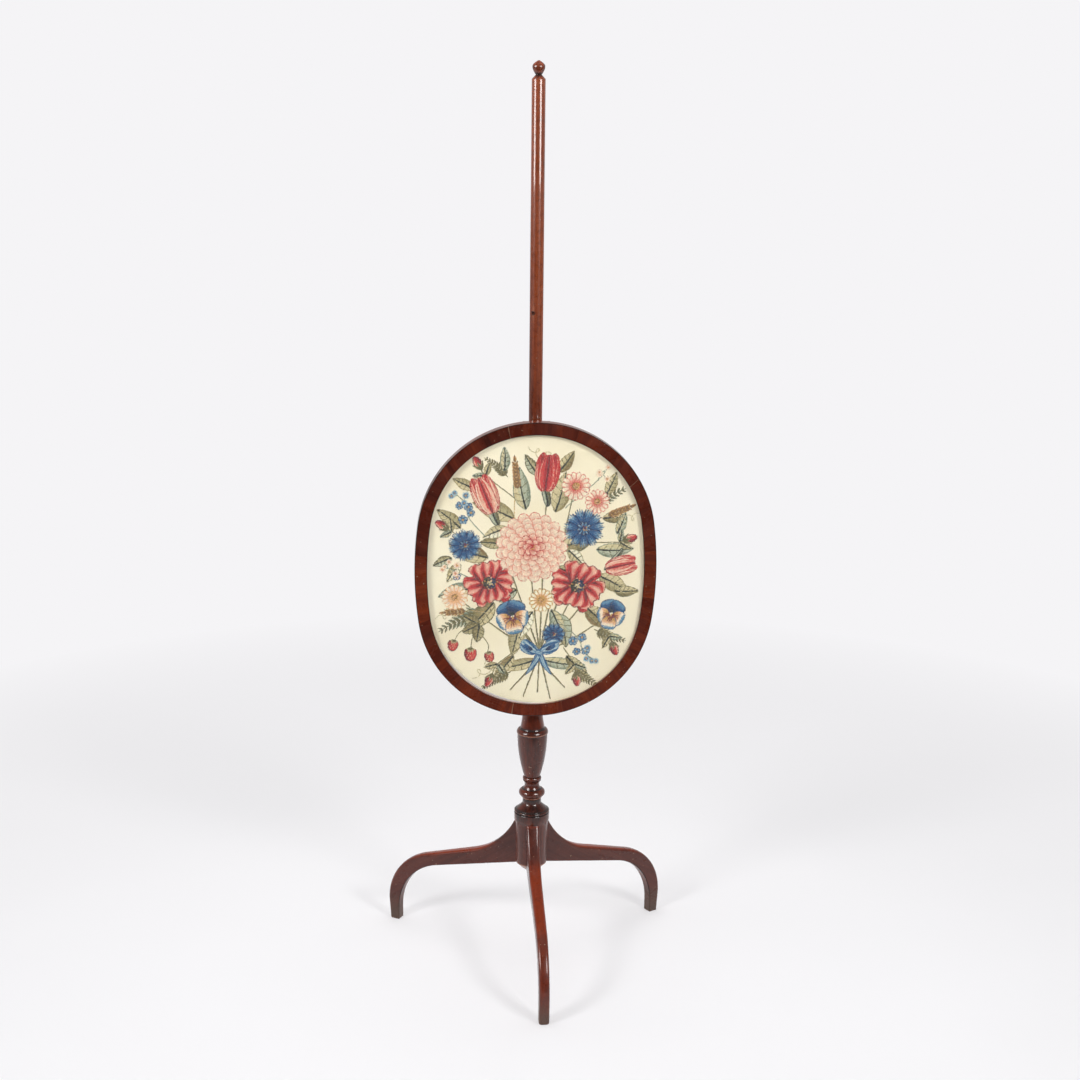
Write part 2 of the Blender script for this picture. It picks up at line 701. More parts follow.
# %% [markdown]
# ## Pole and finial
# The pole is a plain rod with a small peg hole high up, which tells of an older fitting. It is spun
# like the column, and the hole is cut with a rod through a Boolean. The stain round the hole is painted
# over the finish by the distance from it. The finial is a little onion on a cone, turned from its own
# scrap of wood.

# %% Pole with its peg hole
POLE_R, POLE_TOP, SPIGOT_R, SPIGOT_LONG = 10.25, 1393, 7.5, 60
PEG_UP, PEG_TURN, PEG_R, PEG_DEEP, STAIN_IN, STAIN_OUT = 1050, 235, 1.75, 9, 2.2, 4.2
pole = turn("pole_rod", [(0, COLUMN_TOP - SPIGOT_LONG), (SPIGOT_R, COLUMN_TOP - SPIGOT_LONG),
                         (SPIGOT_R, COLUMN_TOP), (POLE_R, COLUMN_TOP)]
            + [(POLE_R, COLUMN_TOP + (POLE_TOP - COLUMN_TOP) * t) for t in steps(24)] + [(0, POLE_TOP)], 72)
put_down()
bpy.ops.mesh.primitive_cylinder_add(vertices=24, radius=PEG_R * MM, depth=2 * PEG_DEEP * MM)
drill = named(bpy.context.object, "drill")
out_way = turned(PEG_TURN, "Z") @ Vector((1, 0, 0))
hole = AXIS + out_way * POLE_R * MM + Vector((0, 0, PEG_UP * MM))
drill.matrix_world = Matrix.Translation(hole) @ out_way.to_track_quat("Z", "Y").to_matrix().to_4x4()
put_on(pole, "BOOLEAN", object=drill, operation="DIFFERENCE", solver="EXACT")
bpy.data.objects.remove(drill)
tidy_up(pole)
mark_grain(pole, UP, RIGHT, BACK, (0.3, 0.05, 0), 0.4 + 0.35 * (points_of(pole)[:, 2] - 0.9) / 0.5)
set_out(pole, "stand", "mahogany", pole_wood, "pole")
tree = pole_wood.node_tree
paint_over(pole_wood, between(tree, distance(tree, hole), STAIN_IN * MM, STAIN_OUT * MM, 0.85, 0.0), STAIN)
print("pole", len(pole.data.polygons), "faces, hole at", [round(x, 3) for x in hole])

# %% Finial
WAIST_R, ONION_R, WAIST_Z, ONION_Z, TIP_Z = 4.5, 9.5, 1399, 1411, 1420
onion = [(WAIST_R + (ONION_R - WAIST_R) * math.sin(math.pi / 2 * t), WAIST_Z + (ONION_Z - WAIST_Z) * t)
         for t in steps(16)]
onion += [(ONION_R * math.cos(math.pi / 2 * t) ** 0.9, ONION_Z + (TIP_Z - ONION_Z) * t)
          for t in steps(16)[1:-1]]
finial = turn("finial_onion", [(0, POLE_TOP), (POLE_R, POLE_TOP)] + onion + [(0, TIP_Z)], 72)
in_waist = np.abs(points_of(finial)[:, 2] / MM - WAIST_Z) < 3
mark_grain(finial, UP, RIGHT, BACK, (0.7, 0.1, 0), 0.3, 2, -0.12 * in_waist)
set_out(finial, "stand", "mahogany", pole_wood, "finial")
print("finial", len(finial.data.polygons), "faces")

# %% [markdown]
# ## Legs
# Each leg is sawn from a plank: a cove runs down from the hub, the back falls straight to a knee, and
# an arch is cut out under it, which leaves a small foot. The outline is traced once on the plank's
# tapered face, filled, extruded across to the other face, and its arrises are bevelled, more than a
# new leg's would be, since two centuries of dusting have rounded them.

# %% Outline of a leg
HUB_R, LEG_TOP, LEG_REACH, LEG_THICK, FOOT_THICK = 26.25, 225.0, 263.0, 20.5, 16.0
COVE_R, KNEE_R, ARCH_R, BACK_FALL, BELLY_FALL, COVE_START = 130.0, 95.0, 93.0, 17.0, 13.8, 25.0
FOOT_DEEP, FOOT_LEAN, HUB_FOOT, BELLY_R, LET_IN = 20.0, 3.0, 150.0, 24.0, 15.0


def way(degrees, r=1.0):
    """A step of r in one direction of a flat drawing."""
    return Vector((r * math.cos(math.radians(degrees)), r * math.sin(math.radians(degrees))))


def arc(centre, r, start, end, n):
    """Points along a part of a circle."""
    return [centre + way(start + (end - start) * t, r) for t in steps(n)]


def arch_line():
    """The leg's underside, from the heel up and in to where its straight belly starts."""
    centre_x = LEG_REACH - FOOT_DEEP - ARCH_R
    belly = math.radians(BELLY_FALL)
    drop = math.tan(belly) * (centre_x - BELLY_R) + ARCH_R / math.cos(belly)
    return arc(Vector((centre_x, HUB_FOOT - drop)), ARCH_R, 0, 90 - BELLY_FALL, 30)


def leg_back():
    """The leg's back, as reach and height in millimetres, from inside the hub down to the toe."""
    fall = math.tan(math.radians(BACK_FALL))
    cove = Vector((HUB_R, LEG_TOP)) + way(COVE_START, COVE_R)
    knee_x = LEG_REACH - KNEE_R
    drop = (COVE_R + KNEE_R) / math.cos(math.radians(BACK_FALL)) + fall * (knee_x - cove.x)
    knee = Vector((knee_x, cove.y - drop))
    return ([Vector((LET_IN, LEG_TOP))] + arc(cove, COVE_R, 180 + COVE_START, 270 - BACK_FALL, 22)
            + arc(knee, KNEE_R, 90 - BACK_FALL, 0, 26) + [Vector((LEG_REACH - FOOT_LEAN, 0))])


def leg_belly():
    """The leg's underside, from the heel up the arch and along the straight belly into the hub."""
    fall = math.tan(math.radians(BELLY_FALL))
    return ([Vector((LEG_REACH - FOOT_DEEP, 0))] + arch_line()
            + [Vector((LET_IN, HUB_FOOT + fall * (BELLY_R - LET_IN)))])


def half_thick(x):
    """Half the plank's thickness, which tapers to the foot."""
    return (LEG_THICK + (FOOT_THICK - LEG_THICK) * max(x - HUB_R, 0) / (LEG_REACH - HUB_R)) / 2


print("leg outline", len(leg_back()), "points along the back,", len(leg_belly()), "along the belly")

# %% Saw one leg from its plank
back_line, belly_line = ([p * MM for p in line] for line in (leg_back(), leg_belly()))
leg = trace("leg_pattern", [(p.x, -half_thick(p.x / MM) * MM, p.y) for p in back_line + belly_line],
            closed=True)
bpy.ops.mesh.edge_face_add()
bpy.ops.mesh.extrude_region_move(TRANSFORM_OT_translate={"value": (0, 0, 0)})
bpy.ops.transform.resize(value=(1, -1, 1), center_override=(0, 0, 0))
tidy_up(leg)
print("sawn leg", len(leg.data.polygons), "faces")

# %% [markdown]
# The back is crowned a little: the edges that cross it are cut once, and their middles are raised. Then
# the long arrises and the sole's are bevelled, the back's most. Edges have no names, so they are told
# apart by where their middles lie.

# %% Find the leg's edges
HERE, CLOSE, CROWN_LOW = 1e-6, 1e-5, 50


def ends_of(edge):
    return [leg.data.vertices[i].co.copy() for i in edge.vertices]


def lies_on(point, line):
    """Tell a place that is the middle of one of a line's steps."""
    return min((Vector((point.x, point.z)) - (p + q) / 2).length for p, q in zip(line, line[1:])) < CLOSE


crossings, arrises = [], {"back": [], "belly": []}
for edge in leg.data.edges:
    a, b = ends_of(edge)
    if abs(a.x - b.x) + abs(a.z - b.z) < HERE:
        on_back = min((Vector((a.x, a.z)) - p).length for p in back_line) < HERE
        if on_back and a.x > HUB_R * MM and a.z > CROWN_LOW * MM:
            crossings.append(edge.index)
    else:
        for part, line in (("back", back_line), ("belly", belly_line)):
            if lies_on((a + b) / 2, line):
                arrises[part].append(((a + b) / 2).freeze())
print("edges across the back", len(crossings), "arrises", [len(found) for found in arrises.values()])

# %% Round the leg
OUTER_ARRIS, INNER_ARRIS, SOLE_ARRIS, CROWN, CHEEK_EDGE = 4.4, 2.2, 1.8, 0.6, 2.5


def is_arris(edge, part):
    a, b = ends_of(edge)
    return min(((a + b) / 2 - p).length for p in arrises[part]) < CLOSE


def is_sole(edge):
    return max(p.z for p in ends_of(edge)) < HERE


pick_parts(leg, "EDGE", lambda edge: edge.index in crossings)
bpy.ops.mesh.subdivide(number_cuts=1)
pick_parts(leg, "VERT", lambda v: abs(v.co.y) < HERE)
bpy.ops.transform.shrink_fatten(value=CROWN * MM)
put_down()
for wanted, offset, rounds in ((lambda edge: is_arris(edge, "back"), OUTER_ARRIS, 6),
                               (lambda edge: is_arris(edge, "belly"), INNER_ARRIS, 4),
                               (is_sole, SOLE_ARRIS, 3)):
    pick_parts(leg, "EDGE", wanted)
    bpy.ops.mesh.bevel(offset=offset * MM, offset_type="OFFSET", segments=rounds, profile=0.5, affect="EDGES",
                       clamp_overlap=False)
    put_down()
pick_parts(leg, "FACE", lambda f: abs(f.normal.y) > 0.98 and f.area > 1e-3)
bpy.ops.mesh.inset(thickness=CHEEK_EDGE * MM, depth=0)
tidy_up(leg)
print("rounded leg", len(leg.data.polygons), "faces")

# %% [markdown]
# Three copies stand round the hub. Their backs are rubbed pale between the hub and the foot, and dirt
# darkens the arrises below and the wood next to the hub.

# %% Set three legs round the hub
GRAIN_FALL = math.radians(-33)
LEG_GRAIN = (math.cos(GRAIN_FALL), 0, math.sin(GRAIN_FALL))
LEG_ACROSS = (-math.sin(GRAIN_FALL), 0, math.cos(GRAIN_FALL))
RUB_FROM, RUB_RISE, RUB_TO, RUB_FADE, DARK_TO, DARK_FADE = 58, 30, 235, 80, 75, 25
way_out = np.array([v.normal for v in leg.data.vertices])
reach = points_of(leg)[:, 0] / MM
facing, sideways = way_out[:, 0] + way_out[:, 2], np.abs(way_out[:, 1])
on_back = np.clip(facing, 0, 1) * np.clip(1.4 - sideways, 0, 1)
along_back = np.clip((reach - RUB_FROM) / RUB_RISE, 0, 1) * np.clip((RUB_TO - reach) / RUB_FADE, 0.2, 1)
under_arris = np.clip(-1.4 * facing, 0, 1) * (sideways > 0.2) * (sideways < 0.97)
at_hub = np.clip((DARK_TO - reach) / DARK_FADE, 0, 1)
legs = []
for name, angle, tone, back_wear in (("leg_front", 270, 0.55, 0.42), ("leg_rear_left", 150, 0.45, 0.36),
                                     ("leg_rear_right", 30, 0.5, 0.24)):
    piece = copy_of(leg, name + "_cyma")
    mark_grain(piece, LEG_GRAIN, LEG_ACROSS, BACK, (angle * 0.01, 0.02, 0), tone - 0.25 * at_hub, 1,
               back_wear * on_back * along_back - 0.2 * under_arris)
    piece.data.transform(Matrix.Translation(AXIS) @ turned(angle, "Z"))
    set_out(piece, "stand", "mahogany", leg_wood, name)
    legs.append(piece)
bpy.data.objects.remove(leg)
print("legs", [(p.name, len(p.data.polygons)) for p in legs])

# %% [markdown]
# ## Oval frame
# A drawn oval is four arcs: two long ones for the sides and two short ones for the ends, which meet
# without a corner. A section of the frame is spun round the centre of each arc in turn, and the ring
# is then sawn into pieces with two bisects per piece, as the joiner sawed the core from four bricks
# and the veneer from short lengths laid across the band.

# %% Sweep and saw
END_LESS = 3.5
END_R = HALF_W - END_LESS
END_C = HALF_H - END_R
SIDE_R = (HALF_W ** 2 + END_C ** 2 - END_R ** 2) / (2 * END_LESS)
SIDE_C = SIDE_R - HALF_W
MEET = math.degrees(math.atan2(END_C, SIDE_C))
ARCS = [((0, END_C), END_R, MEET, 180 - MEET), ((SIDE_C, 0), SIDE_R, 180 - MEET, 180 + MEET),
        ((0, -END_C), END_R, 180 + MEET, 360 - MEET), ((-SIDE_C, 0), SIDE_R, -MEET, MEET)]
LINE_STEPS, RING_STEPS = (96, 33, 96, 33), (104, 30, 104, 30)
BAND, LIP_W, VENEER, LIP, DEEP = 19.3, 7.0, 1.0, 4.0, 19.0


def on_oval(x, z, depth):
    """A place on the panel, from its middle and its face, in metres."""
    return Vector((OVAL.x + x * MM, OVAL.y + depth * MM, OVAL.z + z * MM))


def oval_line(inset, depth):
    """Points round the oval, drawn in by inset."""
    line = []
    for (centre, r, start, end), n in zip(ARCS, LINE_STEPS):
        line += [on_oval(*(Vector(centre) + way(start + (end - start) * i / n, r - inset)), depth)
                 for i in range(n)]
    return line


def oval_ring(name, section, by):
    """Ease the corners of a closed section, of inset and depth, and sweep it round the four arcs."""
    section = [tuple(p) for p in eased(section, by)]
    corner = [Vector((0, END_C)) + way(MEET, END_R - inset) for inset, depth in section]
    obj = trace(name, [on_oval(c.x, c.y, depth) for c, (inset, depth) in zip(corner, section)], closed=True)
    for (centre, _, start, end), n in zip(ARCS, RING_STEPS):
        bpy.ops.mesh.spin(steps=n, angle=math.radians(end - start), center=on_oval(*centre, 0), axis=BACK)
    return tidy_up(obj)


def sawn(ring, name, start, end, crack):
    """A copy of the ring between two directions from its middle, less half a crack at each end."""
    piece = copy_of(ring, name)
    for angle, side in ((start, 1), (end, -1)):
        ray = way(angle)
        normal = Vector((-ray.y, 0, ray.x)) * side
        open_up(piece)
        bpy.ops.mesh.bisect(plane_co=OVAL + normal * crack * MM / 2, plane_no=normal, use_fill=True,
                            clear_inner=True, clear_outer=False)
    return tidy_up(piece)


def board_ways(start, end):
    """The direction out from the oval's middle, halfway between two angles, and the one along the oval."""
    ray, tangent = way((start + end) / 2), way((start + end) / 2 + 90)
    return (ray.x, 0, ray.y), (tangent.x, 0, tangent.y)


print("oval of radii", round(END_R, 2), "and", round(SIDE_R, 2), "that meet at", round(MEET, 2), "degrees")

# %% Core of the frame
REBATE, CORE_CRACK, BACK_ARRIS = BAND - LIP_W, 0.12, 1.2
core_ring = oval_ring("core_ring", [
    (0.3, VENEER), (0, VENEER + 0.4), (0, DEEP - BACK_ARRIS), (BACK_ARRIS, DEEP), (REBATE - 0.5, DEEP),
    (REBATE, DEEP - 0.5), (REBATE, VENEER + LIP), (BAND - 0.3, VENEER + LIP), (BAND, VENEER + LIP - 0.4),
    (BAND, VENEER)], 0.3)
mark_edges(core_ring)
for name, start, end, tone in (("frame_top", 52, 128, 0.45), ("frame_left", 128, 232, 0.38),
                               ("frame_bottom", 232, 308, 0.42), ("frame_right", 308, 412, 0.5)):
    brick = sawn(core_ring, name + "_brick", start, end, CORE_CRACK)
    ray, tangent = board_ways(start, end)
    mark_grain(brick, tangent, ray, BACK, (start * 0.01, 0, 0), tone)
    set_out(brick, "screen", "mahogany", mahogany, name)
bpy.data.objects.remove(core_ring)

# %% [markdown]
# ## Crossbanded veneer
# Twelve lengths of veneer lie across the band, each with its grain running outwards at its own
# middle, so the figure breaks at every joint. Three joints have opened with age and show as pale lines:
# a `seam` attribute holds the distance to the nearest open joint, for the finish to colour. Dirt along
# both arrises of the band draws the oval with a dark line.

# %% Veneers
JOINTS = [10, 43, 74, 101, 136, 171, 204, 236, 261, 281, 319, 346]
TONES = [0.52, 0.56, 0.50, 0.46, 0.42, 0.80, 0.58, 0.66, 0.62, 0.62, 0.54, 0.84]
OPEN_JOINTS = {101: 1.0, 261: 1.0, 43: 1.7}     # direction of the joint, and how fine its line is
ARRIS, ARRIS_DIRT, VENEER_CRACK, GLUE = 1.3, 0.6, 0.2, 0.02


def insets(place):
    """How far points of the ring lie in from the oval's outer line, in millimetres."""
    x, z = (np.abs(place[:, i] - OVAL[i]) / MM for i in (0, 2))
    at_side = np.degrees(np.arctan2(z, x + SIDE_C)) < MEET
    return np.where(at_side, SIDE_R - np.hypot(x + SIDE_C, z), END_R - np.hypot(x, z - END_C))


skin_ring = oval_ring("skin_ring", [(0, VENEER - GLUE), (0, 0), (ARRIS, 0), (BAND - ARRIS, 0), (BAND, 0),
                                    (BAND, VENEER - GLUE)], 0.45)
inset = insets(points_of(skin_ring))
mark_edges(skin_ring, rubbed=np.where((inset < ARRIS_DIRT) | (inset > BAND - ARRIS_DIRT), -0.32, 0.0))
for i, (start, end, tone) in enumerate(zip(JOINTS, JOINTS[1:] + [JOINTS[0] + 360], TONES)):
    band = sawn(skin_ring, f"crossband_{i + 1:02d}", start, end, VENEER_CRACK)
    ray, tangent = board_ways(start, end)
    mark_grain(band, ray, tangent, BACK, (start * 0.013, start * 0.021, 0), tone)
    from_middle = points_of(band) - np.array(OVAL)
    seam = np.full(len(from_middle), 1.0)
    for joint, fineness in OPEN_JOINTS.items():
        if joint in (start, end % 360):
            r = way(joint)
            seam = np.minimum(seam, fineness * np.abs(from_middle[:, 0] * -r.y + from_middle[:, 2] * r.x))
    mark(band, "seam", seam / MM)
    set_out(band, "screen", "veneer", veneer_wood, f"veneer_{i + 1:02d}")
bpy.data.objects.remove(skin_ring)
print("veneers", len(JOINTS))

# %% Pale lines along the open joints
tree = veneer_wood.node_tree
gap = plus(tree, stored(tree, "seam", "Fac"), times(tree, noise(tree, inside(tree), 420), 0.9))
paint_over(veneer_wood, between(tree, gap, 0.5, 1.1, 0.85, 0.0), paint(190, 158, 128))
print("open joints", list(OPEN_JOINTS))

# %% [markdown]
# ## Packing slip
# At the lower left a strip of the pale paper that packs the glass has worked out past the lip and
# shows as a thin crescent. Two lines along the oval, which meet at both ends, are filled and extruded
# to the thickness of a folded paper.

# %% Crescent at the sight edge
SLIP_FROM, SLIP_TO, SLIP_WIDE, SLIP_FRONT, SLIP_THICK, SLIP_GAP = 204, 276, 3.2, 3.8, 1.1, 0.05


def along_lip(t, wide):
    """A place along the sight edge, drawn in by wide."""
    spot = Vector((0, -END_C)) + way(SLIP_FROM + (SLIP_TO - SLIP_FROM) * t, END_R - BAND - SLIP_GAP - wide)
    return on_oval(spot.x, spot.y, SLIP_FRONT)


slip_line = steps(36)
slip = trace("packing_slip", [along_lip(t, 0) for t in slip_line]
             + [along_lip(t, SLIP_WIDE * math.sin(math.pi * t) ** 0.8) for t in reversed(slip_line[1:-1])],
             closed=True)
bpy.ops.mesh.edge_face_add()
bpy.ops.mesh.extrude_region_move(TRANSFORM_OT_translate={"value": (0, SLIP_THICK * MM, 0)})
tidy_up(slip)
paper_finish, tree, shader = finish("packing_paper", Roughness=0.8)
fibre = noise(tree, inside(tree), 160, 3.0)
feed(tree, shader, Base_Color=blend(tree, fibre, paint(244, 240, 236), paint(252, 250, 248)))
set_out(slip, "screen", "canvas", paper_finish)
print("slip", len(slip.data.polygons), "faces")

# %% [markdown]
# ## Pine, board, iron, brass and leather
# The hidden parts are plainer: a pine strainer, a thin stained backboard, iron tacks, and brass for
# the eyes and screws, dulled by handling. These finishes read Object coordinates, because the solids
# that keep their own mesh carry no grain of their own.

# %% Plain finishes
def plain_wood(name, along, dark, body, light, rough, coat=0.0):
    """Plain wood with its grain along X or Z."""
    material, tree, shader = finish(name, Coat_Roughness=0.3, Coat_Weight=coat)
    place = inside(tree)
    if along == "Z":
        place = add(tree, "Mapping", {"Vector": place, "Rotation": (0, math.pi / 2, 0)}).outputs[0]
    plank = use(tree, PLANK, {"Grain": place, "Tone": 0.5, "Dark": dark, "Body": body, "Light": light})
    smear = noise(tree, inside(tree), 14, 5.0, 0.7)
    dirt = between(tree, smear, 0.48, 0.75, 0.0, 0.4)
    feed(tree, shader, Base_Color=blend(tree, dirt, plank["Colour"], dark),
         Roughness=between(tree, smear, 0.3, 0.7, rough - 0.1, rough + 0.1),
         Normal=bumped(tree, plank["Height"], 0.3, 0.0004))
    return material


pine = plain_wood("pine", "X", paint(150, 110, 66), paint(188, 148, 98), paint(212, 178, 128), 0.7)
board = plain_wood("stained_board", "Z", paint(70, 42, 24), paint(110, 72, 42), paint(140, 98, 60), 0.55, 0.1)


def metal(name, bright, dull, rough):
    """Handled metal: stained in patches and finely scuffed."""
    material, tree, shader = finish(name, Metallic=1.0)
    place = inside(tree)
    stain = noise(tree, place, 90, 5.0, 0.7, 0.5)
    scuff = noise(tree, stretch(tree, place, 1, 1, 14), 420, 2.0, 0.6)
    feed(tree, shader, Base_Color=blend(tree, between(tree, stain, 0.38, 0.66), bright, dull),
         Roughness=between(tree, plus(tree, stain, times(tree, scuff, 0.3)), 0.35, 0.95, *rough),
         Normal=bumped(tree, scuff, 0.05, 0.0002))
    return material


brass = metal("aged_brass", paint(188, 150, 82), paint(122, 88, 44), (0.22, 0.5))
iron = metal("iron", paint(92, 88, 84), paint(54, 46, 42), (0.4, 0.7))

leather, tree, shader = finish("leather")
place = inside(tree)
creases = add(tree, "TexVoronoi", {"Vector": place, "Scale": 1400}, feature="DISTANCE_TO_EDGE").outputs[0]
cloud = noise(tree, place, 160, 4.0)
feed(tree, shader, Base_Color=blend(tree, cloud, paint(62, 40, 26), paint(96, 66, 42)),
     Roughness=between(tree, cloud, 0.3, 0.7, 0.5, 0.75),
     Normal=bumped(tree, between(tree, creases, 0.0, 0.12), 0.3, 0.0002))
print("plain finishes", [m.name for m in (pine, board, brass, iron, leather)])

# %% [markdown]
# ## Backboard, strainer, brass eyes and bushes
# Where a solid already has the right shape, it stays and only gets its finish. Where its corners
# would show, a copy is merged, its flat faces are dissolved to single faces, and its edges are
# bevelled so that they catch the light.

# %% Dress the solids
FLAT, CORNER, SMOOTH = (math.radians(degrees) for degrees in (0.4, 32, 35))
for node, material in (("strainer", pine), ("strainer_bar", pine), ("canvas_tacks", iron),
                       ("clamp_shoe", brass)):
    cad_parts[node].data.materials[0] = material


def dressed(node, name, body, slot, material, round_by):
    """A copy of a solid with its edges rounded."""
    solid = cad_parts[node]
    piece = bpy.data.objects.new(name, solid.data.copy())
    bpy.context.collection.objects.link(piece)
    piece.data.name = name
    piece.data.materials.clear()
    open_up(piece)
    bpy.ops.mesh.remove_doubles(threshold=SEAM)
    bpy.ops.mesh.dissolve_limited(angle_limit=FLAT)
    put_on(piece, "BEVEL", width=round_by * MM, segments=3, limit_method="ANGLE", angle_limit=CORNER,
           use_clamp_overlap=True)
    pick_up(piece)
    bpy.ops.object.shade_smooth_by_angle(angle=SMOOTH)
    put_down()
    return set_out(piece, body, slot, material, node)


for row in (("backboard", "back_board", "screen", "backboard", board, 0.5),
            ("upper_eye", "eye_upper", "screen", "brass", brass, 0.5),
            ("lower_eye", "eye_lower", "screen", "brass", brass, 0.5),
            ("upper_bush", "bush_upper", "sleeve", "leather", leather, 0.3),
            ("lower_bush", "bush_lower", "sleeve", "leather", leather, 0.3),
            ("thumb_screw", "thumb_wing", "thumb_screw", "brass", brass, 0.5)):
    piece = dressed(*row)
    print("dressed", piece.name, len(piece.data.polygons), "faces")

# %% [markdown]
# ## Screws and pins
# Four countersunk screws hold the eyes, each with a slot, and twelve domed pins hold the backboard.
# One of each is made and then copied to its places, which are read from the loose parts of the
# solids: the middle of each part's back end.

# %% Places of the loose parts
def part_boxes(node):
    """The box of each loose part of a solid, found by joining triangles that share a place."""
    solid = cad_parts[node]
    where = points_of(solid)
    _, same = np.unique(np.round(where / HERE).astype(np.int64), axis=0, return_inverse=True)
    same = same.ravel()
    label = np.arange(same.max() + 1)
    faces = same[np.array([p.vertices[:] for p in solid.data.polygons])]
    while True:
        low = label[faces].min(1)
        new = label.copy()
        for k in range(3):
            np.minimum.at(new, faces[:, k], low)
        if (new == label).all():
            break
        label = new
    mine = label[same]
    return [(where[mine == i].min(0), where[mine == i].max(0)) for i in np.unique(mine)]


def back_end(low, high, sunk):
    """The middle of a part's back end, sunk a little, with its own axis pointing back."""
    middle = ((low[0] + high[0]) / 2, high[1] - sunk * MM, (low[2] + high[2]) / 2)
    return Matrix.Translation(middle) @ turned(-90, "X")


def copies(pattern, name, places):
    """One object that holds a copy of the pattern's mesh at each place."""
    made = [copy_of(pattern, name) for _ in places]
    put_down()
    for piece, at in zip(made, places):
        piece.data.transform(at)
        piece.select_set(True)
    bpy.context.view_layer.objects.active = made[0]
    bpy.ops.object.join()
    bpy.data.objects.remove(pattern)
    put_down()
    return named(made[0], name)


screw_boxes, pin_boxes = part_boxes("eye_screws"), part_boxes("backboard_pins")
print("screws", len(screw_boxes), "pins", len(pin_boxes))

# %% Screws
SCREW_R, HEAD_HALF, SHANK_LONG, SHANK_SHARE, TIP_SHARE = 3, 0.7, 8, 0.55, 0.45
SLOT_WIDE, SLOT_DEEP, SCREW_ARRIS, SCREW_SUNK = 0.9, 0.6, 0.12, 0.65
put_down()
bpy.ops.mesh.primitive_cylinder_add(vertices=32, radius=SCREW_R * MM, depth=2 * HEAD_HALF * MM,
                                    location=(0, 0, 0))
screw = named(bpy.context.object, "screw_pattern")
pick_parts(screw, "FACE", lambda f: f.normal.z < -0.9)
bpy.ops.transform.resize(value=(SHANK_SHARE, SHANK_SHARE, 1), center_override=(0, 0, -HEAD_HALF * MM))
bpy.ops.mesh.extrude_region_move(TRANSFORM_OT_translate={"value": (0, 0, -SHANK_LONG * MM)})
bpy.ops.transform.resize(value=(TIP_SHARE, TIP_SHARE, 1),
                         center_override=(0, 0, -(HEAD_HALF + SHANK_LONG) * MM))
put_down()
bpy.ops.mesh.primitive_cube_add(size=1, location=(0, 0, HEAD_HALF * MM),
                                scale=(SLOT_WIDE * MM, SHANK_LONG * MM, 2 * SLOT_DEEP * MM))
slot = bpy.context.object
put_on(screw, "BOOLEAN", object=slot, operation="DIFFERENCE", solver="EXACT")
bpy.data.objects.remove(slot)
put_on(screw, "BEVEL", width=SCREW_ARRIS * MM, segments=2, limit_method="ANGLE", angle_limit=SMOOTH)
tidy_up(screw)
screws = copies(screw, "eye_screws_slotted", [back_end(low, high, SCREW_SUNK) @ turned(20 + 47 * i, "Z")
                                              for i, (low, high) in enumerate(screw_boxes)])
set_out(screws, "screen", "brass", brass, "eye_screws")
print("screws", len(screws.data.polygons), "faces")

# %% Pins
PIN_R, DOME, PIN_LINE = 2, 0.8, [(0, -9), (0.5, -8.4), (0.8, -7.6), (0.8, 0)]
dome = [(PIN_R * math.cos(math.pi / 2 * t), DOME * math.sin(math.pi / 2 * t)) for t in steps(7)]
pin = trace("pin_pattern", [(r * MM, 0, z * MM) for r, z in PIN_LINE + dome])
bpy.ops.mesh.spin(steps=24, angle=2 * math.pi, center=(0, 0, 0), axis=UP)
tidy_up(pin, 40)
pins = copies(pin, "backboard_pins_domed", [back_end(low, high, DOME) for low, high in pin_boxes])
set_out(pins, "screen", "brass", brass, "backboard_pins")
print("pins", len(pins.data.polygons), "faces")

# %% [markdown]
# ## Glass
# A thin pane keeps the smoke off the needlework. Real glass bends light, and a renderer would need
# many samples to find the lamps through it, so shadow rays pass straight through, as they very nearly
# do in a flat pane.

# %% Glass
glass, tree, shader = finish("old_glass", Base_Color=(0.97, 0.985, 0.975, 1), Roughness=0.0, IOR=1.5,
                             Transmission_Weight=1.0)
feed(tree, shader, Normal=bumped(tree, noise(tree, inside(tree), 9, 2.0), 0.02, 0.002))
clear = add(tree, "BsdfTransparent", {"Color": (0.94, 0.955, 0.945, 1)}).outputs[0]
shadow_ray = rays(tree)[0]["Is Shadow Ray"]
show(tree, add(tree, "MixShader", {0: shadow_ray, 1: shader.outputs[0], 2: clear}).outputs[0])
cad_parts["glass"].data.materials[0] = glass
print("glass", glass.name)

# %% [markdown]
# ## Canvas
# The ground is a cream cloth, pulled over the strainer and tacked round its edge. It is traced as one
# oval, its edge is extruded back for the turned part, and Solidify gives it the thickness of cloth.
# Its weave is far finer than anything the camera sees, so that alone is left to the finish.

# %% Cloth finish
linen, tree, shader = finish("linen_ground", Roughness=0.85, Sheen_Weight=0.12, Sheen_Roughness=0.5)
place = inside(tree)
warp, weft = (add(tree, "TexWave", {"Vector": place, "Scale": 230, "Distortion": 1.2, "Detail": 1.0},
                  bands_direction=axis).outputs["Fac"] for axis in "XZ")
weave = times(tree, warp, weft)
fade = noise(tree, place, 7, 3.0, 0.5)
fleck = between(tree, noise(tree, place, 240, 3.0, 0.6), 0.66, 0.78, 0.0, 0.35)
cream = blend(tree, between(tree, fade, 0.35, 0.65), paint(226, 213, 184), paint(233, 222, 197))
cream = blend(tree, times(tree, weave, 0.14), cream, paint(196, 178, 142))
cream = blend(tree, fleck, cream, paint(188, 166, 124))
feed(tree, shader, Base_Color=cream, Normal=bumped(tree, weave, 0.4, 0.0003))
print("cloth", linen.name)

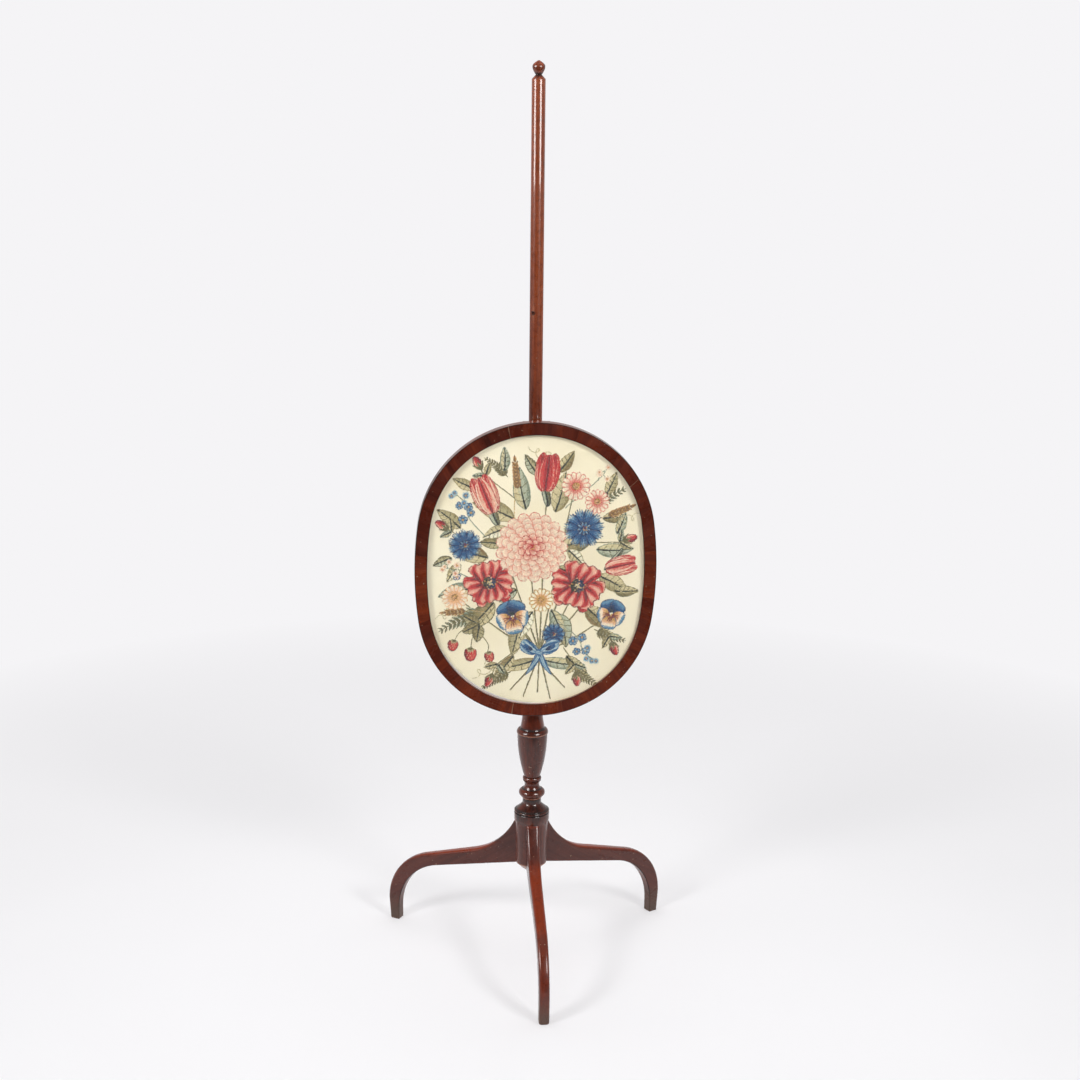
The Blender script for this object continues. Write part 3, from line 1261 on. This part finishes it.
# %% Cut and turn the canvas
CANVAS_IN, CANVAS_DEPTH, TURN_BACK, CLOTH = REBATE + 1.6, 7.5, 7.5, 0.3
rim = oval_line(CANVAS_IN, CANVAS_DEPTH)
canvas = trace("canvas_ground", rim, closed=True)
bpy.ops.mesh.edge_face_add()
bpy.ops.mesh.extrude_region_move(TRANSFORM_OT_translate={"value": (0, TURN_BACK * MM, 0)})
bpy.ops.mesh.delete(type="ONLY_FACE")
tidy_up(canvas)
middle = next(f for f in canvas.data.polygons if f.area > 0.05)
if middle.normal.y > 0:
    open_up(canvas)
    bpy.ops.mesh.flip_normals()
    put_down()
put_on(canvas, "SOLIDIFY", thickness=CLOTH * MM, offset=-1.0)
tidy_up(canvas, 40)
set_out(canvas, "screen", "canvas", linen, "needlework")

# %% [markdown]
# ## Needlework
# A posy of garden flowers is worked in wool. An embroiderer first draws the design on the cloth, and
# so does this step: `chart` is a fine grid that says which wool covers each half millimetre, and
# `lay` says which way its stitches run. Petals and leaves are painted into it by formula, one over the
# other, from the stems at the back to the flower heads in front.

# %% Wools and chart
WOOLS = {
    "ink": (46, 50, 44), "moss": (106, 98, 64), "olive": (152, 136, 92), "sage": (182, 169, 128),
    "straw": (209, 194, 152), "fern": (124, 134, 114), "mist": (184, 187, 162), "umber": (132, 96, 60),
    "gold": (196, 150, 82), "apricot": (222, 172, 128), "plum": (116, 34, 42), "crimson": (176, 38, 44),
    "scarlet": (204, 66, 62), "rose": (214, 136, 120), "salmon": (225, 174, 150), "blush": (231, 200, 176),
    "shell": (235, 217, 192), "navy": (29, 48, 84), "royal": (38, 82, 128), "sky": (94, 138, 168),
    "ice": (178, 195, 196), "ivory": (240, 231, 207),
}
SHADES = list(WOOLS)
CELL, WIDE, TALL, GROW = 0.5, 340, 436, 1.12     # millimetres, and how much the drawing is enlarged
xs = ((np.arange(int(WIDE / CELL)) + 0.5) * CELL - WIDE / 2) / GROW
zs = ((np.arange(int(TALL / CELL)) + 0.5) * CELL - TALL / 2) / GROW
X, Z = np.meshgrid(xs, zs)
chart = np.full(X.shape, -1, np.int16)
lay = np.zeros(X.shape, np.float32)
grit = np.random.default_rng(5).random(X.shape)
print("chart", chart.shape, "wools", len(WOOLS))

# %% [markdown]
# Leaves, flowers and knots are all made of one thing, a petal. It has an outline (`FORMS` gives its half
# width from root to tip), a bend, and wools that change along it or across it, and it can have a rim, a
# rib, side veins, teeth or a frayed tip. The grain of `grit` makes the wools run into each other.

# %% Petals
FORMS = {
    "leaf": lambda u: np.sin(np.pi * u ** 0.8) ** 0.85,
    "blade": lambda u: np.sin(np.pi * u ** 0.55) ** 0.7,
    "round": lambda u: np.sqrt(np.clip(1 - np.abs(2 * u ** 1.5 - 1) ** 2.6, 0, 1)),
    "spoon": lambda u: np.clip(0.35 + 0.9 * u, 0, 1) * np.sqrt(np.clip(1 - u ** 9, 0, 1)),
    "cup": lambda u: np.sqrt(np.clip(1 - np.abs(2 * u ** 0.75 - 1) ** 2.2, 0, 1)),
    "bean": lambda u: np.sqrt(np.clip(4 * u * (1 - u), 0, 1)),
}


def window(at, reach):
    """The part of the chart round a place."""
    i0, i1 = np.searchsorted(xs, [at[0] - reach, at[0] + reach])
    k0, k1 = np.searchsorted(zs, [at[1] - reach, at[1] + reach])
    return slice(k0, k1), slice(i0, i1)


def petal(at, heading, length, width, wools, form="round", bend=0.0, by=None, rim=None, rib=None,
          veins=0, teeth=0, fray=0.0, fan=0.5, back=0.0):
    """Fill one petal or leaf: wools from its root to its tip, with a rim, a rib and side veins."""
    w = window(at, length * 1.25 + width)
    c, s = math.cos(math.radians(heading)), math.sin(math.radians(heading))
    dx, dz = X[w] - at[0], Z[w] - at[1]
    u = (dx * c + dz * s) / length + back
    v = dz * c - dx * s - bend * length * np.clip(u, 0, 1.2) ** 2
    uu = np.clip(u, 1e-4, 1 - 1e-4)
    half = width / 2 * FORMS[form](uu)
    if teeth:
        half = half * (1 - 0.2 * ((uu * teeth - 0.3 * np.abs(v) / width) % 1))
    tip = 1.0
    if fray:
        tip = 1 - fray * (0.5 + 0.5 * np.cos(v / width * 2 * np.pi * 4.3 + heading))
    half = np.maximum(half, 1e-3)
    side = v / half
    within = (u > 0) & (u < tip) & (np.abs(side) < 1)
    tone = by(uu / tip, side) if by else uu / tip
    n = len(wools)
    pick = np.clip((tone * n + (grit[w] - 0.5) * 0.7).astype(int), 0, n - 1)
    wool = np.array([SHADES.index(x) for x in wools])[pick]
    if veins:
        wave = (uu * veins - 0.6 * np.abs(side) ** 0.8) % 1
        vein = (wave < 1.0 * veins / length) & (np.abs(side) < 0.9) & (uu < 0.86)
        wool = np.where(vein, SHADES.index("moss"), wool)
    if rib:
        wool = np.where(np.abs(v) < 1.35 - 0.8 * uu, SHADES.index(rib), wool)
    if rim:
        near = (half - np.abs(v) < 0.95) | ((tip - u) * length < 1.1)
        wool = np.where(near, SHADES.index(rim), wool)
    turn = math.radians(heading) + np.arctan(2 * bend * uu) + fan * side * (0.4 + 0.6 * uu)
    chart[w][within] = wool[within]
    lay[w][within] = turn[within]


print("petal forms", list(FORMS))


# %% Stems and knots
def around(at, deg, r):
    """The place at a distance r from another."""
    return at[0] + r * math.cos(math.radians(deg)), at[1] + r * math.sin(math.radians(deg))


def smooth(values, t):
    """Catmull-Rom through values at whole steps of t."""
    v = np.concatenate([[2 * values[0] - values[1]], values, [2 * values[-1] - values[-2]]])
    i = np.clip(t.astype(int), 0, len(values) - 2)
    f = t - i
    a, b, c, d = v[i], v[i + 1], v[i + 2], v[i + 3]
    return 0.5 * (2 * b + (c - a) * f + (2 * a - 5 * b + 4 * c - d) * f ** 2
                  + (3 * b - a - 3 * c + d) * f ** 3)


def stem(points, wools, width):
    """Couch a stem along a smooth path through the points."""
    p = np.array(points, float)
    n = max(int(np.hypot(*np.diff(p, axis=0).T).sum() / 0.4), 8)
    t = np.linspace(0, len(p) - 1, n)
    path = np.stack([smooth(p[:, k], t) for k in (0, 1)], 1)
    step = np.gradient(path, axis=0)
    for i, (q, d) in enumerate(zip(path, step)):
        w = window(q, width + 1)
        turn = math.atan2(d[1], d[0])
        off = (Z[w] - q[1]) * math.cos(turn) - (X[w] - q[0]) * math.sin(turn)
        thick = width * (1.0 - 0.35 * i / len(path))
        near = (X[w] - q[0]) ** 2 + (Z[w] - q[1]) ** 2 < (thick / 2) ** 2
        chart[w][near] = np.where(off[near] > 0.15 * thick, SHADES.index(wools[1]), SHADES.index(wools[0]))
        lay[w][near] = turn


def knots(at, count, reach, wools, size=2.4):
    """French knots in a sunflower spiral."""
    for i in range(count):
        q = around(at, i * 137.5, reach * math.sqrt((i + 0.4) / count))
        petal(q, i * 40, size, size, [wools[i % len(wools)]], "bean", back=0.5)


print("stems and knots ready")

# %% Leaves
OLIVE, FERN, MOSS = ("olive", "sage", "straw"), ("fern", "mist", "straw"), ("moss", "olive", "straw")
UMBER, MISTY, DEEP_GREEN = ("umber", "olive", "straw"), ("moss", "sage", "mist"), ("moss", "olive", "sage")
PALE, FROND = ("sage", "straw", "ivory"), ("moss", "fern", "mist")


def leaf(at, heading, length, width, wools, bend=0.0, veins=6, teeth=0):
    """A leaf that is darker on one side of its rib."""
    petal(at, heading, length, width, wools, "leaf", bend, lambda u, s: 0.6 + 0.5 * s * (1 - 0.5 * u),
          wools[0] if wools[0] != "umber" else "olive", "ink", veins, teeth, fan=0.75)


def fern(at, heading, length, wools, bend, pairs=9):
    """Leaflets in pairs along a bent stalk."""
    c, s = math.cos(math.radians(heading)), math.sin(math.radians(heading))

    def stalk(t):
        return (at[0] + length * t * c - bend * length * t * t * s,
                at[1] + length * t * s + bend * length * t * t * c)

    for t in np.arange(1, pairs + 1) / (pairs + 1):
        size = length * 0.3 * (1 - 0.75 * t)
        for side in (-1, 1):
            petal(stalk(t), heading + math.degrees(2 * bend * t) + side * 52, size, size * 0.36, wools, "leaf",
                  -0.12 * side, rib=wools[0])
    stem([stalk(t) for t in np.linspace(0, 1, 6)], wools[:2], 1.3)


print("greens", OLIVE, FERN, MOSS, UMBER, MISTY, DEEP_GREEN, PALE, FROND)


# %% Dahlia, poppy and cornflower
def dahlia(at, r):
    wools = ("rose", "salmon", "blush", "shell")
    deep = ("crimson", "rose") + wools[1:3]
    for n, count in enumerate((17, 16, 14, 12, 9, 6)):
        k = 1 - n / 6
        for i in range(count):
            a = n * 11 + 360 / count * i
            petal(around(at, a, r * 0.78 * k - r * 0.12), a, r * (0.22 + 0.16 * k), r * (0.2 + 0.16 * k),
                  wools if n < 4 else deep, "cup", rim="rose" if n < 4 else "crimson", fan=0.3)
    knots(at, 9, r * 0.09, ("crimson", "rose", "gold"))


def poppy(at, r, tilt):
    wools = ("plum", "crimson", "scarlet", "rose", "salmon")
    for a, k in ((200, 1.0), (340, 1.0), (90, 0.95), (270, 0.86)):
        petal(around(at, a + tilt, -r * 0.06), a + tilt, r * k, r * 1.45, wools, "spoon", rim="plum", fray=0.1,
              by=lambda u, s: np.clip(u * 0.8 + 0.3 * np.sin(12 * s + 3 * u), 0, 1), fan=0.9)
    petal(at, 0, r * 0.5, r * 0.5, ["ink", "navy"], "bean", back=0.5, fan=1)
    knots(at, 22, r * 0.3, ("ink", "gold", "umber", "apricot"), 2.2)
    knots(at, 6, r * 0.09, ("sage", "straw"), 2.6)


def cornflower(at, r, tilt):
    wools = ("navy", "royal", "royal", "sky", "ice")
    for a in (tilt + i * 360 / 11 for i in range(11)):
        petal(around(at, a, r * 0.14), a, r * 0.88, r * 0.46, wools, "spoon", fray=0.28, rim="navy", fan=0.6,
              by=lambda u, s: np.clip(0.95 * u * (1 - 0.35 * np.abs(s)), 0, 1))
    for a in (tilt + 20 + i * 40 for i in range(9)):
        petal(around(at, a, r * 0.04), a, r * 0.36, r * 0.15, ["royal", "sky", "ice"], "leaf", rim="navy")
    knots(at, 9, r * 0.16, ("plum", "navy", "gold"), 2.0)


print("round heads ready")


# %% Daisy, tulip and pansy
def daisy(at, r, tilt, wools=("scarlet", "rose", "blush", "shell", "ivory"), rim="rose"):
    for a in (tilt + i * 24 for i in range(15)):
        petal(around(at, a, r * 0.2), a, r * 0.8, r * 0.36, wools, "spoon", rim=rim, fan=0.2)
    petal(at, 0, r * 0.54, r * 0.54, ["umber", "gold"], "bean", back=0.5)
    knots(at, 14, r * 0.22, ("gold", "apricot", "umber"), 2.0)


def tulip(at, heading, length, wools=("crimson", "scarlet", "salmon", "shell")):
    def flame(u, s):
        return np.clip(0.25 + 0.62 * np.abs(s) ** 0.8 + 0.2 * np.sin(16 * s) * u - 0.15 * u, 0, 1)

    for turn, long, wide, bend in ((21, 0.97, 0.4, -0.2), (8, 0.9, 0.42, 0.05)):
        for side in (1, -1):
            petal(at, heading + side * turn, length * long, length * wide, wools, "cup", side * bend, flame,
                  "crimson", fan=0.2)
    petal(at, heading, length * 0.94, length * 0.44, wools, "cup", 0.0, flame, "crimson", "plum", fan=0.25)


def pansy(at, r, tilt):
    for a in (118 + tilt, 62 + tilt):
        petal(at, a, r, r * 1.05, ("ink", "navy", "royal", "sky"), "round", rim="navy", fan=0.8)
    for a, k in ((196, 0.9), (344, 0.9), (270, 1.0)):
        petal(at, a + tilt, r * k, r, ("plum", "gold", "apricot", "shell", "sky"), "round", rim="royal",
              fan=0.8)
        for d in (-16, 0, 16):
            petal(around(at, a + tilt + d, r * 0.12), a + tilt + d, r * 0.42, 1.5, ["plum"], "bean")
    knots(at, 4, r * 0.1, ("gold", "ivory"), 2.4)


print("small heads ready")


# %% Forget-me-nots, buds and wheat
def forget_me_nots(path, count, size=6.4, wools=("royal", "sky", "ice")):
    stem(path, ("fern", "mist"), 1.2)
    p = np.array(path, float)
    for i in range(count):
        t = np.array([(0.35 + 0.65 * i / (count - 1)) * (len(p) - 1)])
        at = q = smooth(p[:, 0], t)[0], smooth(p[:, 1], t)[0]
        r = size * (1 - 0.45 * i / count)
        if i < count - 1:
            at = around(q, 57 * i + (20 if i % 2 else 200), 8.5)
            stem([q, at], ("fern", "mist"), 1.0)
        for k in range(5):
            petal(at, 18 + 72 * k + 31 * i, r, r * 0.92, wools, "round", rim="royal" if r > 5 else None)
        petal(at, 0, r * 0.55, r * 0.55, ["gold"], "bean", back=0.5)


def bud(at, heading, size):
    petal(at, heading, size, size * 0.62, ("plum", "crimson", "scarlet", "salmon"), "cup", rim="plum",
          by=lambda u, s: np.clip(0.5 + 0.5 * s, 0, 1))
    for d in (-34, 0, 34):
        petal(around(at, heading, -size * 0.12), heading + d, size * 0.72, size * 0.2, ("moss", "sage"), "leaf",
              rib="moss")


def wheat(path, heading, pairs):
    grain_wools = ("umber", "gold", "apricot")
    stem(path, ("gold", "straw"), 1.1)
    for i in range(pairs):
        q = around(path[-1], heading, i * 5.2)
        for side in (-1, 1):
            petal(q, heading + side * 30, 10.5 - 0.5 * i, 4.2, grain_wools, "leaf", rib="umber")
    petal(around(path[-1], heading, pairs * 5.2), heading, 10, 4, grain_wools, "leaf", rib="umber")


print("sprays ready")


# %% Berries, tendrils and bow
def berry(at, heading, size):
    petal(at, heading, size, size * 0.92, ("plum", "crimson", "scarlet", "scarlet"), "cup", rim="plum",
          by=lambda u, s: np.clip(0.55 + 0.45 * s, 0, 1))
    for u, s in ((0.25, 0), (0.4, 0.25), (0.4, -0.25), (0.58, 0), (0.58, 0.4), (0.58, -0.4), (0.75, 0.2),
                 (0.75, -0.2)):
        q = around(around(at, heading, u * size), heading + 90, s * size * 0.6)
        petal(q, heading, 1.5, 1.1, ["apricot"], "bean", back=0.5)
    for d in (-70, -35, 0, 35, 70):
        petal(at, heading + d, size * 0.38, size * 0.16, ["moss", "sage"], "leaf")


def tendril(at, heading, size, hand, turns=2.2):
    """A curl of thread, wound to one hand or the other."""
    t = np.linspace(0, 1, 40)
    a = np.radians(heading) + hand * t * turns * 2 * np.pi
    r = size * 0.3 * (1 - 0.75 * t)
    x, z = around(at, heading, size * t)
    stem(list(zip(x + r * np.sin(a) * hand, z - r * np.cos(a) * hand)), ("sage", "straw"), 0.9)


def bow(at, size):
    band = ("royal", "sky", "ice", "ice", "sky")

    def fold(u, s):
        return np.clip(0.5 + 0.4 * np.sin(5 * s + 4 * u), 0, 1)

    for side, d in ((1, -74), (-1, -108)):
        petal(at, d, size * 1.25, size * 0.3, band, "blade", side * 0.22, fold, "royal")
    for side in (1, -1):
        a = 90 - side * 68
        petal(at, a, size, size * 0.62, band, "round", side * 0.12, fold, "royal", fan=0.5)
        petal(around(at, a, size * 0.3), a, size * 0.52, size * 0.24, ("navy", "royal"), "round", side * 0.12)
    petal(at, 0, size * 0.36, size * 0.34, band, "bean", by=fold, rim="royal", back=0.5)


print("berries, tendrils and bow ready")

# %% [markdown]
# The posy is drawn from the back to the front: stems that fan out from the tie, leaves, sprays, and the
# heads last. Places are in millimetres from the panel's middle, before the drawing is enlarged.

# %% Draw the stems and leaves
TIE = (6, -118)


def drawn():
    """The share of the chart that is covered so far."""
    return round(float((chart >= 0).mean()), 3)


for head in ((-62, 86), (14, 116), (-96, 40), (64, 60), (106, 4), (-60, -20), (58, -24), (-10, 30), (52, 118),
             (-112, -34), (108, -62), (-30, -60)):
    mid = (0.42 * head[0] + TIE[0] * 0.5, 0.45 * head[1] + TIE[1] * 0.62)
    stem([TIE, mid, head], ("moss", "sage"), 2.3)
for x, z in ((-34, -172), (-16, -182), (4, -176), (22, -186), (42, -170)):
    stem([TIE, (TIE[0] + (x - TIE[0]) * 0.35, -142), (x, z)], ("moss", "olive"), 2.4)
for row in (((-74, -58), 196, 66, FROND, 0.15), ((70, 84), 38, 62, FROND, -0.12),
            ((84, -86), -30, 46, MOSS, 0.15), ((-40, 134), 128, 40, MOSS, 0.2)):
    fern(*row)
for row in (
    ((-30, 74), 150, 62, 26, OLIVE, 0.12), ((-14, 88), 108, 60, 24, FERN, -0.15),
    ((26, 84), 70, 58, 25, OLIVE, 0.1), ((34, 34), 12, 56, 27, MOSS, 0.14),
    ((84, 30), -8, 52, 20, FERN, 0.16), ((88, -8), -24, 48, 24, OLIVE, -0.1),
    ((70, -52), -46, 52, 26, UMBER, 0.12), ((34, -62), -72, 50, 24, MISTY, -0.12),
    ((-20, -78), -112, 46, 22, OLIVE, 0.12), ((-58, -44), -128, 54, 27, MOSS, -0.1),
    ((-88, -24), 186, 48, 23, FERN, 0.12), ((-66, 20), 166, 58, 26, UMBER, -0.12),
    ((-104, 62), 132, 42, 19, OLIVE, 0.14), ((-44, 40), 176, 34, 17, DEEP_GREEN, 0.0),
    ((30, 4), -18, 34, 17, DEEP_GREEN, 0.0), ((-26, -26), -150, 30, 16, MISTY, 0.1),
    ((2, -128), 203, 58, 17, OLIVE, -0.2), ((10, -128), -20, 60, 17, FERN, 0.2),
    ((96, 108), 60, 34, 16, OLIVE, 0.1), ((-84, 118), 160, 34, 15, OLIVE, -0.1),
    ((30, 140), 48, 36, 17, UMBER, 0.1), ((2, 136), 128, 34, 15, MISTY, -0.1),
    ((110, -30), -6, 34, 16, MOSS, 0.1), ((-116, 20), 196, 28, 14, MISTY, 0.1),
    ((44, -124), -48, 40, 16, MOSS, 0.12), ((-30, -122), -126, 40, 16, UMBER, -0.12),
    ((92, 74), 8, 34, 16, MOSS, -0.1), ((-44, 142), 84, 34, 14, FERN, 0.12),
    ((-4, -58), 238, 44, 19, PALE, 0.12), ((22, -56), 298, 46, 19, FERN, -0.12),
    ((-40, 62), 196, 36, 17, PALE, 0.1), ((44, 30), -40, 34, 17, PALE, -0.1),
    ((-104, 12), 228, 32, 15, ("olive", "straw", "ivory"), 0.1), ((112, 52), 62, 32, 14, FERN, 0.12),
):
    leaf(*row)
for row in (((-34, -146), 204, 46, MOSS, 0.12), ((52, -146), -26, 46, MOSS, -0.12)):
    fern(*row)
for at, heading, length, width, bend in (((-52, 66), 118, 70, 13, -0.2), ((16, 92), 96, 62, 11, 0.2),
                                         ((96, 0), 44, 46, 10, 0.15)):
    petal(at, heading, length, width, FROND, "blade", bend, lambda u, s: 0.5 + 0.45 * s, "ink", "ink")
print("covered by stems and leaves", drawn())

# %% Draw the sprays
PINKS = ("rose", "blush", "shell")
for row in (([(-30, 60), (-30, 100), (-26, 118)], 96, 7), ([(40, 60), (86, 74), (100, 78)], 22, 6),
            ([(-60, -60), (-84, -56), (-98, -56)], 184, 5)):
    wheat(*row)
for row in (([(-70, 50), (-92, 76), (-98, 98), (-112, 112)], 8),
            ([(30, -70), (60, -98), (68, -118), (86, -132)], 8),
            ([(40, 90), (84, 128), (98, 146)], 5, 5.4, PINKS),
            ([(-70, -20), (-112, 2), (-126, 8)], 6, 5.4, PINKS)):
    forget_me_nots(*row)
for twig in ([(-30, 104), (-70, 136), (-76, 146)], [(60, -50), (104, -96), (108, -106)],
             [(-20, -110), (-52, -134), (-60, -150)], [(40, -112), (56, -136), (58, -150)],
             [(-76, 30), (-116, 58), (-122, 62)], [(80, 40), (116, 40), (122, 42)]):
    stem(twig, ("moss", "sage"), 1.5)
    step = np.subtract(twig[-1], twig[-2])
    heading = math.degrees(math.atan2(step[1], step[0]))
    leaf(twig[1], heading - 50, 20, 10, OLIVE, veins=4)
    leaf(twig[1], heading + 60, 18, 9, FERN, veins=4)
    bud(twig[-1], heading, 19)
for twig, width in (([(-58, -52), (-84, -86), (-90, -110)], 1.4), ([(-76, -74), (-104, -86), (-112, -98)], 1.2),
                    ([(-80, -84), (-66, -104), (-66, -116)], 1.2)):
    stem(twig, ("moss", "sage"), width)
for heading in (150, 205, 262):
    leaf((-78, -76), heading, 26, 19, DEEP_GREEN, veins=5, teeth=5)
for row in (((-90, -110), 268, 19), ((-113, -98), 256, 16), ((-65, -116), 278, 15)):
    berry(*row)
for row in (((-106, -52), 206, 34, 1), ((112, 66), 24, 32, -1), ((20, 156), 148, 34, -1),
            ((112, -24), -14, 30, 1), ((-56, -132), 214, 36, -1)):
    tendril(*row)
print("covered with the sprays", drawn())

# %% Draw the heads
for flower, *row in (
    (tulip, (-60, 84), 112, 56), (tulip, (12, 114), 84, 54, ("plum", "crimson", "scarlet", "salmon")),
    (tulip, (98, 2), 12, 44), (daisy, (54, 120), 20, 5), (daisy, (84, 98), 17, 17),
    (daisy, (-112, -36), 18, 9, ("apricot", "apricot", "blush", "shell", "ivory"), "apricot"),
    (cornflower, (66, 60), 28, 8), (cornflower, (-98, 38), 23, 0), (cornflower, (26, -92), 17, 4),
    (pansy, (106, -64), 22, -14), (pansy, (-32, -66), 25, 10), (poppy, (-64, -16), 36, 12),
    (poppy, (58, -22), 39, -18), (dahlia, (-6, 34), 48),
    (daisy, (8, -42), 17, 3, ("gold", "apricot", "shell", "ivory", "ivory"), "gold"), (bow, TIE, 30),
):
    flower(*row)
print("covered with the heads", drawn())

# %% [markdown]
# Then the stitches are laid. They sit on a fine lattice, each moved and turned a little by chance, and
# each is a small spindle of thread that swells from the cloth and dips back into it. More than eighty
# thousand of them can only be written straight into meshes, one for each wool.

# %% Wool finish
tree, takes, gives = group("Wool", [("Ply", "Vector"), ("Shade", "Color"), ("Lit", "Color")],
                           [("Colour", "Color"), ("Height", "Float")])
axes = add(tree, "SeparateXYZ", {0: takes["Ply"]}).outputs
twist = sums(tree, "SINE", plus(tree, times(tree, axes["X"], 7.5), times(tree, axes["Y"], 9.0)))
lit = between(tree, plus(tree, axes["Z"], times(tree, twist, 0.12)), 0.0, 1.0)
give(tree, gives, Colour=blend(tree, lit, takes["Shade"], takes["Lit"]), Height=twist)
WOOL = tree


def wool_finish(name, rgb):
    """Wool of one colour, a little darker or lighter from thread to thread."""
    material, tree, shader = finish("wool_" + name, Roughness=0.9, Sheen_Weight=0.15, Sheen_Roughness=0.45,
                                    Specular_IOR_Level=0.2)
    thread = use(tree, WOOL, {"Ply": stored(tree, "ply", "Vector"), "Shade": paint(*(0.86 * c for c in rgb)),
                              "Lit": paint(*(min(255, 1.07 * c + 3) for c in rgb))})
    feed(tree, shader, Base_Color=thread["Colour"], Normal=bumped(tree, thread["Height"], 0.25, 0.0001))
    return material


print("group", WOOL.name)

# %% Place the stitches
PITCH, STRAY, HALF_LONG, HALF_BROAD, HIGH, MARGIN = 0.9, 0.35, 1.25, 0.5, 0.42, 2
luck = np.random.default_rng(11)
row_x, row_z = np.meshgrid(np.arange(-WIDE / 2, WIDE / 2, PITCH), np.arange(-TALL / 2, TALL / 2, PITCH))
spot_x = (row_x + luck.uniform(-STRAY, STRAY, row_x.shape)).ravel()
spot_z = (row_z + luck.uniform(-STRAY, STRAY, row_z.shape)).ravel()
cell_x = np.clip(((spot_x + WIDE / 2) / CELL).astype(int), 0, chart.shape[1] - 1)
cell_z = np.clip(((spot_z + TALL / 2) / CELL).astype(int), 0, chart.shape[0] - 1)
wool_at = chart[cell_z, cell_x]
end_away = np.hypot(spot_x, np.maximum(np.abs(spot_z) - END_C, 0))
side_away = np.hypot(np.abs(spot_x) + SIDE_C, spot_z) - SIDE_C
off_cloth = (end_away > END_R - CANVAS_IN - MARGIN) | (side_away > HALF_W - CANVAS_IN - MARGIN)
wool_at[off_cloth] = -1
spin_at = lay[cell_z, cell_x] + luck.normal(0, 0.13, len(spot_x))
long_at = HALF_LONG * luck.uniform(0.8, 1.2, len(spot_x))
high_at = HIGH * luck.uniform(0.62, 1.0, len(spot_x))
shade_at = luck.uniform(0.0, 1.0, len(spot_x))
print("stitches placed", int((wool_at >= 0).sum()))

# %% Lay the stitches
# one spindle: along, across and up, as shares of its half length, half breadth and height
SPINDLE = np.array([(-1, 0, 0), (-0.5, -1, 0), (-0.5, 0, 1), (-0.5, 1, 0), (0.5, -1, 0), (0.5, 0, 1),
                    (0.5, 1, 0), (1, 0, 0)])
SPINDLE_FACES = [(0, 1, 2), (0, 2, 3), (1, 4, 5, 2), (2, 5, 6, 3), (4, 7, 5), (5, 7, 6), (0, 3, 1),
                 (1, 3, 6, 4), (4, 6, 7)]
CORNERS, FACE_SIZES = np.concatenate(SPINDLE_FACES), [len(f) for f in SPINDLE_FACES]
for number, (name, rgb) in enumerate(WOOLS.items()):
    mine = np.flatnonzero(wool_at == number)
    along = SPINDLE[None, :, 0] * long_at[mine][:, None]
    across = np.broadcast_to(SPINDLE[None, :, 1] * HALF_BROAD, along.shape)
    up = SPINDLE[None, :, 2] * high_at[mine][:, None]
    c, s = np.cos(spin_at[mine])[:, None], np.sin(spin_at[mine])[:, None]
    x = spot_x[mine][:, None] + along * c - across * s
    z = spot_z[mine][:, None] + along * s + across * c
    place = np.stack([OVAL.x + x * MM, OVAL.y + (CANVAS_DEPTH - up) * MM, OVAL.z + z * MM], -1).reshape(-1, 3)
    corners = (CORNERS[None, :] + len(SPINDLE) * np.arange(len(mine))[:, None]).ravel()
    mesh = bpy.data.meshes.new("stitches_" + name)
    mesh.vertices.add(len(place))
    mesh.vertices.foreach_set("co", place.ravel())
    mesh.loops.add(len(corners))
    mesh.loops.foreach_set("vertex_index", corners)
    mesh.polygons.add(len(FACE_SIZES) * len(mine))
    starts = np.concatenate([[0], np.cumsum(np.tile(FACE_SIZES, len(mine)))[:-1]])
    mesh.polygons.foreach_set("loop_start", starts)
    mesh.update(calc_edges=True)
    mesh.shade_smooth()
    piece = bpy.data.objects.new("stitches_" + name, mesh)
    bpy.context.collection.objects.link(piece)
    shade = np.broadcast_to(shade_at[mine][:, None], x.shape)
    mark(piece, "ply", np.stack([along, across, shade], -1).reshape(-1, 3), "FLOAT_VECTOR")
    flat = np.stack([x / WIDE + 0.5, z / TALL + 0.5], -1).reshape(-1, 2)[corners]
    mesh.uv_layers.new(name="OFBake").data.foreach_set("uv", flat.ravel())
    set_out(piece, "screen", "canvas", wool_finish(name, rgb))
